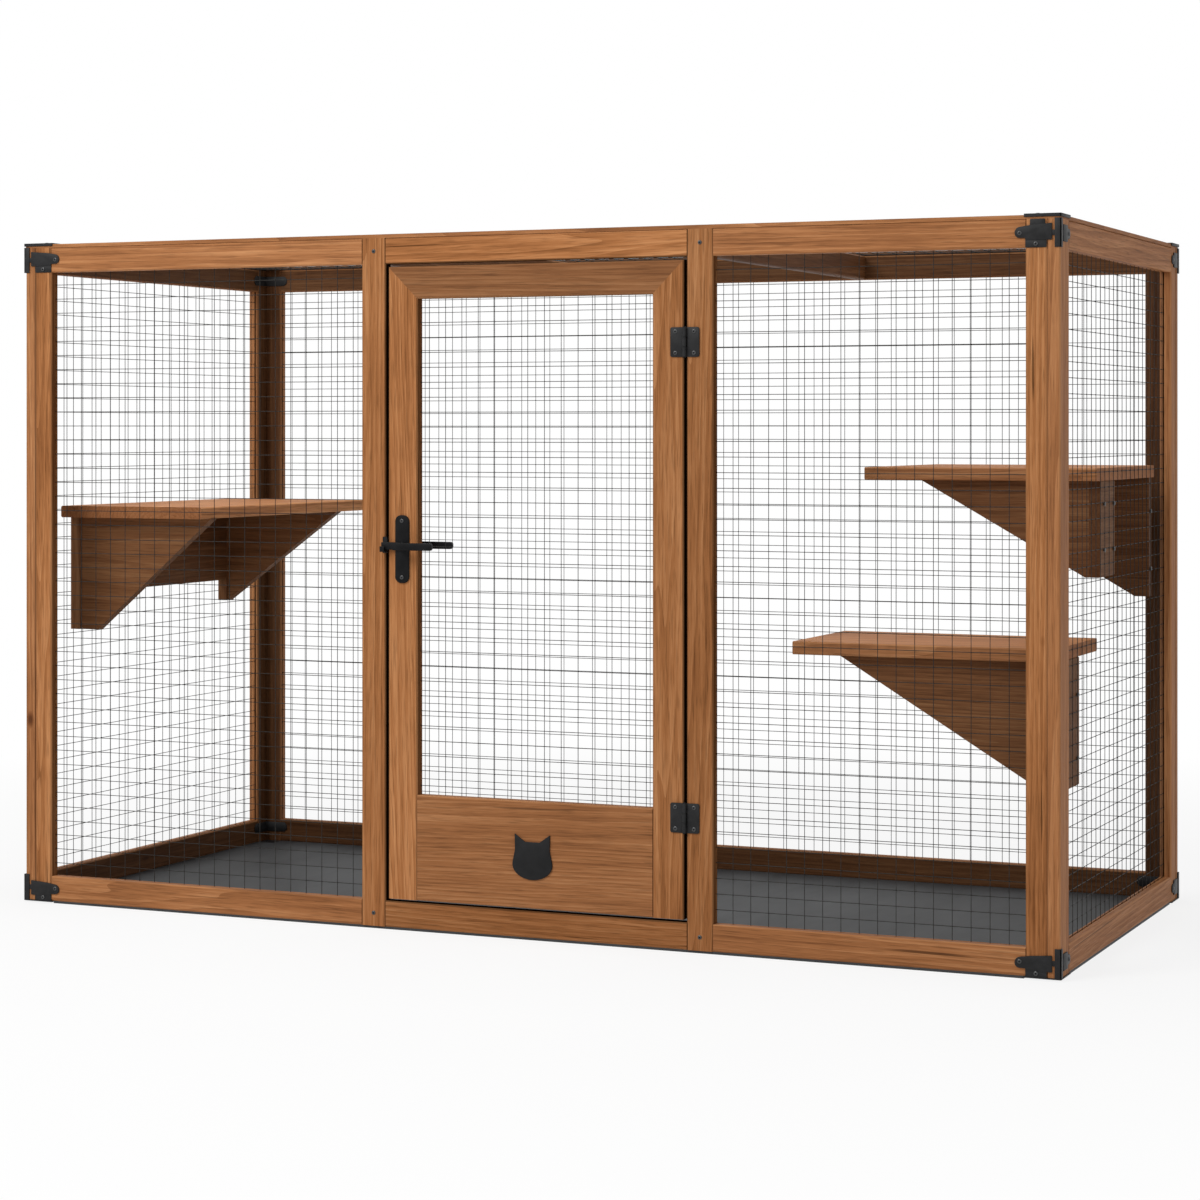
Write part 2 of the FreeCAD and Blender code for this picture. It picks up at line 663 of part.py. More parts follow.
def bracket_holes(plate_at):
    """Screw places on one corner bracket: the axis that each screw runs along and its place."""
    middle = (s.bracket_low + s.bracket_high) / 2
    arm_hole = s.bracket_arm - s.bracket_arm_height / 2
    tab_middle = (s.bracket_tab + s.bracket_plate) / 2
    lobe_hole = s.bracket_lobe - s.bracket_arm_height / 2
    half_top = (s.bracket_plate + s.bracket_tab) / 2
    return (
        ("y", (arm_hole, sized(0), middle)),
        ("y", (tab_middle, sized(0), s.bracket_low / 2)),
        ("x", (sized(0), lobe_hole, middle)),
        ("z", (half_top, s.panel_thickness / 2, plate_at)),
    )


def corner_bracket(label, low, plate_at):
    body = new_body(label, (left, front, low))
    steel = s.plate_thickness
    front_plate = bracket_outline(s.bracket_plate, s.bracket_arm, True)
    plate = raised(body, "y", front_plate, steel, (0, -steel, 0))
    reach = s.bracket_arm.value
    eased(body, plate, "y", s.bracket_arm_clip, lambda p: abs(p.x - reach) < 0.1)
    side_plate = bracket_outline(s.bracket_side_plate, s.bracket_lobe, False)
    side = raised(body, "x", side_plate, steel, (-steel, 0, 0))
    lobe = s.bracket_lobe.value
    eased(body, side, "x", s.bracket_arm_clip, lambda p: p.x < 0.1 and abs(p.y - lobe) < 0.1)
    top = oblong(s.bracket_top + steel, s.bracket_top + steel)
    raised(body, "z", top, steel, (-steel, -steel, plate_at))
    for along, place in bracket_holes(plate_at):
        start = list(place)
        index = "xyz".index(along)
        if along != "z":
            start[index] = -steel
        raised(body, along, screw_hole(), steel, start, cut=True)
    return four_corners(body)


def make_corner_brackets():
    """Upper and lower brackets hang the same way up; only the plate over the end changes sides."""
    upper, lower = bracket_levels()
    group = doc.addObject("Part::Compound", "corner_brackets")
    group.Links = [corner_bracket("upper_bracket", *upper), corner_bracket("lower_bracket", *lower)]
    keep_group(group, "corner_brackets")


def make_inner_brackets():
    middle = (timber_high + rail_high_bottom) / 2
    body = new_body("inner_bracket", (left_inner, front_inner, middle - s.inner_height / 2))
    steel = s.plate_thickness
    arm = s.inner_arm
    angle = [(0, 0), (arm, 0), (arm, steel), (steel, steel), (steel, arm), (0, arm)]
    bent = raised(body, "z", angle, s.inner_height)
    reach = s.inner_arm.value
    first = eased(body, bent, "y", s.inner_clip, lambda p: abs(p.x - reach) < 0.1)
    eased(body, first, "x", s.inner_clip, lambda p: abs(p.y - reach) < 0.1)
    middle = (s.frame_height + timber_low) / 2
    keep_group(mirrored(four_corners(body), "inner_brackets", "z", middle), "inner_brackets")


def many_sided(sides, radius, place, along):
    """A regular outline round a place, square to a direction."""
    turn = FreeCAD.Rotation(AXES["z"], along)
    corners = []
    for number in range(sides):
        angle = 2 * math.pi * number / sides
        corner = FreeCAD.Vector(math.cos(angle), math.sin(angle), 0) * radius.value
        corners.append(place + turn.multVec(corner))
    return Part.makePolygon(corners + corners[:1])


def screw(place, inward, length=s.screw_length):
    """A wood screw with its head on a face and its shank along inward, in few faces as there are many."""
    place = FreeCAD.Vector(*[sized(value).value for value in place])
    crown = place - inward * s.screw_dome.value
    head_edge = many_sided(HEAD_SIDES, s.screw_head, place, inward)
    head = Part.makeLoft([head_edge, many_sided(HEAD_SIDES, s.screw_crown, crown, inward)], True, True)
    shank = Part.Face(many_sided(SHANK_SIDES, s.screw_shank, place, inward)).extrude(inward * length.value)
    return head.fuse(shank)


def shelf_screw(side, y, z):
    """A screw from outside a side mesh, with its head on the wire nearest to a place."""
    inward = AXES["x"] * -side
    aside = (s.wire_size / 2 + s.screw_shank + s.shelf_screw_room).value
    beside = []
    spans = ((front + s.corner_face, back - s.corner_face), open_span)
    for span, pitch, wanted in zip(spans, (s.pitch_across, s.pitch_up), (y.value, z.value)):
        wire = min(wire_middles(span, pitch), key=lambda middle: abs(middle - wanted))
        beside.append(wire + aside if wire < wanted else wire - aside)
    outside = (right - s.mesh_setback + net_half) * side
    return screw((outside.value, *beside), inward)


def shelf_screws():
    """Two screws in each upright and cleat, and two in the gusset that stands on the mesh itself."""
    first = front + s.left_shelf_front + s.left_shelf_lip + s.upright_depth / 2
    low_first = front + s.low_shelf_front + s.shelf_lip + s.gusset_thickness / 2
    low_last = low_first + s.low_cleat_length - s.gusset_thickness
    high_first = front + s.high_shelf_front + s.shelf_lip + s.gusset_thickness / 2
    high_last = high_first + s.high_cleat_length - s.gusset_thickness
    columns = (
        (-1, first, s.left_shelf_top, s.left_gusset_height),
        (-1, first + left_shelf_spacing(), s.left_shelf_top, s.left_back_height),
        (1, low_first, s.low_shelf_top, s.low_gusset_height),
        (1, low_last, s.low_shelf_top, s.low_gusset_height),
        (1, high_first, s.high_shelf_top, s.high_gusset_height),
        (1, high_last, s.high_shelf_top, s.high_gusset_height),
        (1, high_first + high_back_gusset(), s.high_shelf_top, s.high_back_height),
    )
    solids = []
    for side, y, top, height in columns:
        for share in (0.25, 0.75):
            solids.append(shelf_screw(side, y, top - s.shelf_thickness - height * share))
    return solids


def corner_screws():
    solids = []
    for low, plate_at in bracket_levels():
        for along, place in bracket_holes(plate_at):
            spot = [start + offset for start, offset in zip((left, front, low), place)]
            index = "xyz".index(along)
            inward = AXES[along]
            if along != "z":
                spot[index] = spot[index] - s.plate_thickness
            elif plate_at.value > 0:
                spot[index] = spot[index] + s.plate_thickness
                inward = inward * -1
            solids.append(screw(spot, inward))
    for normal in "xy":
        solids += [solid.mirror(FreeCAD.Vector(), AXES[normal]) for solid in solids]
    return solids


def hinge_middles():
    return (s.hinge_top - s.hinge_spacing, s.hinge_top)


def leaf_screw_places(side):
    """Screw places on one side of the hinges; side is 1 on the post and -1 on the door."""
    x = hinge_x + s.leaf_screw_out * side
    rise = s.hinge_height / 2 - s.leaf_screw_edge
    y = front - s.plate_thickness
    return [(x, y, middle + rise * sign) for middle in hinge_middles() for sign in (-1, 1)]


def make_screws():
    inward = AXES["y"]
    frame_screws = corner_screws()
    for x in (post_left + s.post_width / 2, doorway_right + s.post_width / 2):
        for z in (timber_low + s.rail_height / 2, timber_high - s.rail_height / 2):
            frame_screws.append(screw((x, front, z), inward))
    frame_screws += [screw(place, inward) for place in leaf_screw_places(1)]
    group_of_solids("frame_screws", frame_screws + shelf_screws())
    door_screws = [screw(place, inward) for place in leaf_screw_places(-1)]
    rise = s.latch_plate_height / 2 - s.latch_screw_edge
    outside = front - s.latch_plate_thickness
    inside = front_inner + s.latch_plate_thickness
    for z in (s.latch_plate_middle - rise, s.latch_plate_middle + rise):
        door_screws.append(screw((latch_x, outside, z), inward, s.latch_screw_length))
        door_screws.append(screw((latch_x, inside, z), inward * -1, s.latch_screw_length))
    group_of_solids("door_screws", door_screws)


def knuckle(body, low, height, side):
    """A rolled knuckle with the web that joins it to its leaf; side is 1 for the post's leaf."""
    web_end = (s.barrel_radius + s.barrel_room) * side
    raised(body, "z", sided(BARREL_SIDES, s.barrel_radius), height, (0, 0, low))
    web = [(0, 0), (web_end, 0), (web_end, s.plate_thickness), (0, s.plate_thickness)]
    return raised(body, "z", web, height, (0, s.barrel_radius - s.plate_thickness, low))


def hinge_leaf(label, side, knuckles):
    """Two equal leaves on one side of the door gap, each with its knuckles bored for the pin."""
    at = (hinge_x, hinge_y, s.hinge_top - s.hinge_spacing - s.hinge_height / 2)
    body = new_body(label, at)
    start = (s.barrel_radius + s.barrel_room) * side
    end = s.leaf_reach * side
    y = s.barrel_radius - s.plate_thickness
    plate = [(start, 0), (end, 0), (end, s.plate_thickness), (start, s.plate_thickness)]
    leaf = raised(body, "z", plate, s.hinge_height, (0, y, 0))
    edge = s.leaf_reach.value
    eased(body, leaf, "y", s.edge_ease, lambda p: abs(abs(p.x) - edge) < 0.1)
    for low, height in knuckles:
        knuckle(body, low, height, side)
    raised(body, "z", sided(BARREL_SIDES, s.pin_radius + s.pin_room), s.hinge_height, cut=True)
    middle = s.hinge_height / 2
    rise = middle - s.leaf_screw_edge
    for sign in (-1, 1):
        place = (s.leaf_screw_out * side, y, middle + rise * sign)
        raised(body, "y", screw_hole(), s.plate_thickness, place, cut=True)
    features = [f for f in body.Group if f.TypeId != "Sketcher::SketchObject"]
    repeated(body, features, "z", s.hinge_spacing)


def make_hinges():
    third = s.hinge_height / 3
    outer = third - s.knuckle_room
    hinge_leaf("hinge_post_leaves", 1, ((sized(0), outer), (s.hinge_height - outer, outer)))
    hinge_leaf("hinge_door_leaves", -1, ((third, third),))
    start = s.hinge_top - s.hinge_spacing - s.hinge_height / 2
    body = new_body("hinge_pins", (hinge_x, hinge_y, start))
    pin = raised(body, "z", s.pin_radius, s.hinge_height + s.pin_head_height * 2, (0, 0, -s.pin_head_height))
    head = sided(BARREL_SIDES, s.pin_head)
    low_head = raised(body, "z", head, s.pin_head_height, (0, 0, -s.pin_head_height))
    high_head = raised(body, "z", head, s.pin_head_height, (0, 0, s.hinge_height))
    repeated(body, [pin, low_head, high_head], "z", s.hinge_spacing)


def make_latch_plates():
    low = s.latch_plate_middle - s.latch_plate_height / 2
    place = (latch_x - s.latch_plate_width / 2, front - s.latch_plate_thickness, low)
    body = new_body("latch_plates", place)
    plate = raised(body, "y", oblong(s.latch_plate_width, s.latch_plate_height), s.latch_plate_thickness)
    soft = rounded(body, plate, "y", s.latch_plate_corner)
    middle = s.latch_plate_width / 2
    bore_place = (middle, 0, s.spindle_height - low)
    bore_outline = sided(BARREL_SIDES, s.spindle_radius + s.pin_room)
    bore = raised(body, "y", bore_outline, s.latch_plate_thickness, bore_place, cut=True)
    features = [plate, soft, bore]
    for z in (s.latch_screw_edge, s.latch_plate_height - s.latch_screw_edge):
        hole = raised(body, "y", screw_hole(), s.latch_plate_thickness, (middle, 0, z), cut=True)
        features.append(hole)
    repeated(body, features, "y", s.panel_thickness + s.latch_plate_thickness)


def lever_bar(body, y):
    """The grip of a lever, with both ends rounded, level with the spindle."""
    half = s.lever_height / 2
    bar = [(-half, -half), (s.lever_reach, -half), (s.lever_reach, half), (-half, half)]
    grip = raised(body, "y", bar, s.lever_bar, (0, y, 0))
    ends = (-half.value, s.lever_reach.value)
    middle = sized(y).value + s.lever_bar.value / 2

    def at_an_end(place):
        return min(abs(place.x - end) for end in ends) < 0.1 and abs(place.y - middle) < 0.1

    rounded(body, grip, "y", half - s.end_flat, at_an_end)


def make_levers():
    face_gap = s.latch_plate_thickness + s.neck_room
    neck_length = s.lever_stand - face_gap
    neck = sided(BARREL_SIDES, s.neck_radius)
    seat = sided(BARREL_SIDES, s.spindle_radius)
    outer = new_body("latch_outer_lever", (latch_x, front, s.spindle_height))
    raised(outer, "y", neck, neck_length, (0, -s.lever_stand, 0))
    half = s.lever_height / 2
    tail_back = s.latch_plate_thickness + s.tail_room
    tail = [(-s.tail_reach, -half), (0, -half), (0, half), (-s.tail_reach, half)]
    raised(outer, "y", tail, s.tail_thickness, (0, -(tail_back + s.tail_thickness), 0))
    lever_bar(outer, -(s.lever_stand + s.lever_bar))
    raised(outer, "y", seat, s.spindle_seat, (0, -(face_gap + s.spindle_seat), 0), cut=True)
    inner = new_body("latch_inner_lever", (latch_x, front_inner, s.spindle_height))
    raised(inner, "y", neck, neck_length, (0, face_gap, 0))
    lever_bar(inner, s.lever_stand)
    raised(inner, "y", seat, s.spindle_seat, (0, face_gap, 0), cut=True)
    reach = face_gap + s.spindle_seat
    spindle = new_body("latch_spindle", (latch_x, front - reach, s.spindle_height))
    raised(spindle, "y", s.spindle_radius, s.panel_thickness + reach * 2)
    spring = new_body("latch_spring", (latch_x, front, s.spindle_height))
    raised(spring, "y", sided(BARREL_SIDES, s.spring_outer), s.panel_thickness)
    raised(spring, "y", sided(BARREL_SIDES, s.spring_inner), s.panel_thickness, cut=True)


def make_keeper():
    steel = s.plate_thickness
    ledge_top = s.spindle_height - s.lever_height / 2 - s.keeper_drop
    deep = s.keeper_gap + steel * 2
    low = ledge_top - s.keeper_ledge - steel
    body = new_body("latch_keeper", (doorway_left - s.keeper_hold, front - deep, low))
    ledge = steel
    seat = ledge + s.keeper_ledge
    lip = seat + s.keeper_lip
    face = deep - steel
    hook = [(0, ledge), (face, ledge), (face, 0), (deep, 0), (deep, s.keeper_height)]
    hook += [(face, s.keeper_height), (face, seat), (steel, seat), (steel, lip), (0, lip)]
    raised(body, "x", hook, s.keeper_hold + s.door_side_gap - s.keeper_room)


def make_door():
    deep = s.panel_thickness
    member = s.door_member
    mesh = ("y", s.mesh_setback)
    stile = (member, deep, door_height)
    inner_left = door_left + member
    inner_right = door_right - member
    left_stile = timber("door_left_stile", "z", stile, (door_left, front, door_low), [("+x", *mesh)])
    shoulder = door_height - member
    raised(left_stile, "y", [(0, door_height), (member, door_height), (member, shoulder)], deep, cut=True)
    bore_place = (member / 2, 0, s.spindle_height - door_low)
    raised(left_stile, "y", sided(BARREL_SIDES, s.spindle_bore), deep, bore_place, cut=True)
    right_stile = timber("door_right_stile", "z", stile, (inner_right, front, door_low), [("-x", *mesh)])
    raised(right_stile, "y", [(0, door_height), (0, shoulder), (member, door_height)], deep, cut=True)
    top = new_body("door_top_rail", (door_left, front, door_high - member))
    mitre = [(member, 0), (door_width - member, 0), (door_width, member), (0, member)]
    blank = raised(top, "y", mitre, deep)
    eased(top, blank, "x", s.edge_ease)
    groove(top, "x", (door_width, deep, member), "-z", *mesh)
    kick = (inner_right - inner_left, deep, s.kick_height)
    timber("door_kick_panel", "x", kick, (inner_left, front, door_low), [("+z", *mesh)])
    opening = (kick_top, door_high - member)
    make_net("door_mesh", "y", front + s.mesh_setback, -1, (inner_left, inner_right), opening)


def make_plaque():
    """A plain cat's head: round cheeks that run up past the temples into two pointed ears."""
    thick = s.plaque_thickness
    middle = (door_left + door_right) / 2
    body = new_body("cat_plaque", (middle, front - thick, s.plaque_middle))
    right_ear = [(s.ear_root_in, s.ear_root_up), (s.ear_tip_out, s.ear_tip_up), (s.temple_out, s.temple_up)]
    left_ear = [(-across, up) for across, up in reversed(right_ear)]
    cheeks = []
    for number in range(CHEEK_SIDES + 1):
        angle = CHEEK_RISE - (math.pi + 2 * CHEEK_RISE) * number / CHEEK_SIDES
        across = s.plaque_width * (math.cos(angle) / 2)
        cheeks.append((across, s.plaque_height * (math.sin(angle) / 2)))
    raised(body, "y", right_ear + cheeks + left_ear, thick)


def checked(label, node):
    shape = node.Shape
    if shape.isNull() or not shape.isValid() or not shape.Solids:
        raise RuntimeError("%s has no valid solid" % label)
    return shape


def write_parts():
    doc.recompute()
    for item in doc.Objects:
        if "Invalid" in item.State or "Error" in item.State:
            raise RuntimeError("%s failed: %s" % (item.Label, item.State))
    shapes = {label: checked(label, node) for label, node in NODES.items()}
    os.makedirs("parts", exist_ok=True)
    for label, shape in shapes.items():
        shape.exportStep("parts/%s.step" % label)
    print("%d nodes, %d solids" % (len(shapes), sum(len(shape.Solids) for shape in shapes.values())))


make_front()
make_sides()
make_back()
make_roof()
make_floor()
make_left_shelf()
make_right_shelves()
make_corner_brackets()
make_inner_brackets()
make_door()
make_plaque()
make_hinges()
make_latch_plates()
make_levers()
make_keeper()
make_screws()
write_parts()
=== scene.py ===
"""Looks of a timber and wire cat cage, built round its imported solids."""

import json
import math
import random

import bmesh
import bpy
from bpy.props import FloatProperty, FloatVectorProperty, IntProperty, PointerProperty
from mathutils import Euler, Matrix, Vector


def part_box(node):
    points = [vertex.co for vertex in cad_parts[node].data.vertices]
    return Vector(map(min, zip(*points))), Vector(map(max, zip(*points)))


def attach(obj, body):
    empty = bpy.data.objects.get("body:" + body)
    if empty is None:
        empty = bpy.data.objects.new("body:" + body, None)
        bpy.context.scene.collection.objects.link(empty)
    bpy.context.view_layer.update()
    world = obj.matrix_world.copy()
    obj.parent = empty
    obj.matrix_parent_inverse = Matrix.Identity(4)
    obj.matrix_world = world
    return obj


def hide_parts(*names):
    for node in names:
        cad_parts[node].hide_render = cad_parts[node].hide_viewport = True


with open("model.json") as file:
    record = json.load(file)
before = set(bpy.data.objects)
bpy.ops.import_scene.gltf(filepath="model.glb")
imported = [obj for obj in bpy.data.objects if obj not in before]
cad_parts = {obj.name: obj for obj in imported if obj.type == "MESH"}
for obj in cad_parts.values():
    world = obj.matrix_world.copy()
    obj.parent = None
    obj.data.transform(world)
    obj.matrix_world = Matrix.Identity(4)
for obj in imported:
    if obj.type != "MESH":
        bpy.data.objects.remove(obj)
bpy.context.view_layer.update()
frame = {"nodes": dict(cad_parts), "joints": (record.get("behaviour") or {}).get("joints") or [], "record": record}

bl_info = {
    "name": "Timber cat cage",
    "version": (1, 0, 0),
    "blender": (4, 5, 0),
    "location": "View3D > Sidebar > Cat Cage",
    "description": "Dresses the solids of a cat cage with stained timber, welded wire and black fittings",
    "category": "Object",
}

MM = 0.001
AXES = {"x": Vector((1, 0, 0)), "y": Vector((0, 1, 0)), "z": Vector((0, 0, 1))}
# The two axes of a section and the axis that it is square to.
SECTIONS = {"x": (1, 2, 0), "y": (0, 2, 1), "z": (0, 1, 2)}
# Turns that lay a member's length along X of its grain pattern.
GRAIN_TURNS = {"x": (0, 0, 0), "y": (0, 0, -math.pi / 2), "z": (0, math.pi / 2, 0)}
# Members whose grain doesn't follow the longest side of their node.
GRAIN_ALONG = {
    "left_shelf_uprights": "z",
    "left_shelf_gussets": "x",
    "lower_shelf_gussets": "x",
    "upper_shelf_gussets": "x",
    "upper_shelf_board": "x",
    "upper_shelf_cleat": "y",
}
# Brightness of each member: painted sheen lifts the top rails and header, painted top light the shelf boards, and
# painted shade darkens the shelf gussets and uprights; the others are only lighter or darker than the rest.
TONES = {
    "front_left_top_rail": 1.14,
    "front_right_top_rail": 1.13,
    "door_header": 1.12,
    "door_top_rail": 0.65,
    "door_kick_panel": 0.88,
    "door_sill": 0.8,
    "door_right_stile": 0.9,
    "right_door_post": 0.82,
    "left_shelf_gussets": 0.54,
    "left_shelf_uprights": 0.5,
    "left_shelf_board": 1.6,
    "lower_shelf_board": 1.35,
    "upper_shelf_board": 1.4,
}
# Painted shade: brightness of the gussets, cleats and uprights that TONES doesn't name, and of the beams' inner
# faces.
BRACKET_SHADE_TONE = 0.44
BEAM_SHADE_TONE = 0.45
# How far chance dims or lifts a member.
CHANCE_TONES = (0.96, 1.05)
# Lift of the members round the door and the front openings, which have no gloss: a painted sheen in place of it.
MATT_LIFT = 1.05
# Brightness of the front edges of the shelf boards, held below their tops, which TONES lifts with painted top
# light.
EDGE_TONES = {"left_shelf_board": 1.3, "lower_shelf_board": 0.88, "upper_shelf_board": 0.88}
# The way to the inside of the cage from each panel; painted shade darkens the faces turned that way.
INWARD = {"back": (0, -1, 0), "left": (1, 0, 0), "right": (-1, 0, 0)}
# Faces of the roof beams that are turned to the inside, which painted shade darkens.
BEAM_SIDES = ((0, 0, -1), (1, 0, 0), (-1, 0, 0))
# Sides of the front members that are turned to a mesh opening, which painted shade darkens.
REVEALS = {
    "front_left_stile": (1, 0, 0),
    "left_door_post": (-1, 0, 0),
    "door_left_stile": (1, 0, 0),
    "door_right_stile": (-1, 0, 0),
    "right_door_post": (1, 0, 0),
    "front_right_stile": (-1, 0, 0),
}
# Faces round the door that hardly see any light, which painted shade darkens nearly to black.
GAP_SIDES = {
    "left_door_post": (1, 0, 0),
    "right_door_post": (-1, 0, 0),
    "door_left_stile": (-1, 0, 0),
    "door_right_stile": (1, 0, 0),
    "door_header": (0, 0, -1),
    "door_sill": (0, 0, 1),
}

# Marks of the timber as noise: stretch along the grain, scale, detail and roughness.
STRANDS = {
    "fibres": (0.03, 260.0, 4.0, 0.72),
    "streaks": (0.03, 85.0, 2.0, 0.5),
    "patches": (0.25, 9.0, 2.0, 0.5),
    "pores": (0.035, 640.0, 1.0, 0.5),
    "cracks": (0.014, 130.0, 1.0, 0.5),
}
# Shares of the rings and of these marks in the grain.
RING_SHARE = 0.13
GRAIN_SHARES = {"fibres": 0.45, "streaks": 0.30, "patches": 0.30}
# Gloss of the two stains.
FRAME_GLOSS = 0.1
SHELF_GLOSS = 0.07
# How far a lever's neck goes into its bar, as a share of the bar.
NECK_DEPTH = 0.6
# Edges that turn further than this are rounded.
SHARP_ANGLE = math.radians(30)
# Flats in the round of a plate's corner.
CORNER_STEPS = 5

# Lamps of the stage: place, width and the property that holds their power.
LAMPS = {
    "key_lamp": ((-1.8, -3.8, 3.6), 2.6, "key_power"),
    "top_lamp": ((-0.2, 0.2, 4.4), 2.0, "top_power"),
    "fill_lamp": ((4.2, -3.2, 2.2), 3.0, "fill_power"),
}
LAMP_AIM = Vector((0, 0, 0.5))
FLOOR_RADIUS = 30
# The floor is nearly white up to the first distance from the cage's middle, and white past the second.
FLOOR_FADE = (1.2, 2.6)
NEAR_WHITE = 0.83
SENSOR_WIDTH = 36

# Planes of the cage, read from its solids.
LEFT, FRONT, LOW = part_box("left_front_stile")[0]
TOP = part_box("roof_laths")[1].z
HINGE = next(joint for joint in frame["joints"] if joint["name"] == "door_hinge")
LEVER = next(joint for joint in frame["joints"] if joint["name"] == "lever_turn")


def length(name, default, description):
    """A length of the cage, in metres."""
    return FloatProperty(name=name, description=description, default=default, min=0, unit="LENGTH")


def colour(name, default, description):
    return FloatVectorProperty(name=name, description=description, default=default, min=0, max=1,
                               size=3, subtype="COLOR")


class CageTimberLook(bpy.types.PropertyGroup):
    stain_light: colour("Light stain", (0.50, 0.232, 0.098), "Pale early wood")
    stain_middle: colour("Middle stain", (0.35, 0.142, 0.052), "Most of the stained timber")
    stain_dark: colour("Dark stain", (0.125, 0.042, 0.0135), "Late wood and streaks")
    shelf_light: colour("Light shelf stain", (0.48, 0.232, 0.102), "Pale early wood of the shelves")
    shelf_middle: colour("Middle shelf stain", (0.345, 0.146, 0.059), "Most of the shelf timber")
    shelf_dark: colour("Dark shelf stain", (0.13, 0.046, 0.0165), "Late wood and streaks of the shelves")
    ring_spacing: length("Ring spacing", 6.5 * MM, "Distance between growth rings")
    # Painted shade: the three tones below darken the faces turned to the inside, the sides of the openings and the
    # door gap.
    inner_shade_tone: FloatProperty(name="Inner tone", description="Brightness of the faces turned to the inside",
                              default=0.28, min=0, max=1, subtype="FACTOR")
    reveal_shade_tone: FloatProperty(name="Reveal tone", description="Brightness of the sides of the mesh openings",
                               default=0.5, min=0, max=1, subtype="FACTOR")
    gap_shade_tone: FloatProperty(name="Gap tone", description="Brightness of the faces in the door gap",
                            default=0.05, min=0, max=1, subtype="FACTOR")


class CageWireLook(bpy.types.PropertyGroup):
    wire_radius: length("Wire radius", 0.54 * MM, "Half the thickness of the welded wire")
    weld_radius: length("Weld radius", 1.0 * MM, "Half the width of a weld where two wires cross")
    wire_sides: IntProperty(name="Wire sides", description="Sides of each round wire", default=8, min=3)
    zinc_light: colour("Bright zinc", (0.045, 0.0425, 0.0395), "Bright flakes of the zinc coat")
    zinc_dark: colour("Dull zinc", (0.019, 0.018, 0.0168), "Dull flakes of the zinc coat")


class CageFittingLook(bpy.types.PropertyGroup):
    black_paint: colour("Black paint", (0.012, 0.012, 0.0125), "Satin black of brackets and hinges")
    latch_black: colour("Latch black", (0.006, 0.006, 0.0065), "Deep black of the latch and the plaque")
    black_head: colour("Screw black", (0.03, 0.03, 0.031), "Blackened steel of the screws")
    bright_steel: colour("Bright steel", (0.42, 0.42, 0.43), "Pins, spindle and spring")
    steel: length("Steel", 2 * MM, "Thickness of brackets, hinge leaves and keeper")
    edge: length("Soft edge", 0.4 * MM, "Rounding along the edges of the steel")
    plaque_edge: length("Plaque edge", 0.6 * MM, "Rounding along the edges of the plaque")
    head_dome: length("Screw dome", 1.3 * MM, "Height of the screw heads")
    floor_grey: colour("Floor sheet", (0.040, 0.0415, 0.043), "Dark sheet under the rails")


class CageStageLook(bpy.types.PropertyGroup):
    camera_place: FloatVectorProperty(name="Camera place", description="Where the camera stands",
                                      default=(1.9608, -4.5333, 0.8085), size=3, subtype="XYZ")
    camera_turn: FloatProperty(name="Camera turn", description="Camera's turn from the front",
                               default=math.radians(23.447), subtype="ANGLE")
    lens: FloatProperty(name="Lens", description="Focal length in millimetres", default=86.66, min=1)
    rise: FloatProperty(name="Rise", description="Vertical shift of the picture", default=-0.1438)
    sky_light: FloatProperty(name="Sky light", description="Strength of the even light", default=0.36, min=0)
    top_power: FloatProperty(name="Top power", description="Lamp over the cage", default=45, min=0)
    key_power: FloatProperty(name="Key power", description="Lamp at the front left", default=150, min=0)
    fill_power: FloatProperty(name="Fill power", description="Lamp at the front right", default=25, min=0)
    floor_colour: colour("Floor", (0.86, 0.86, 0.86), "Pale studio floor")


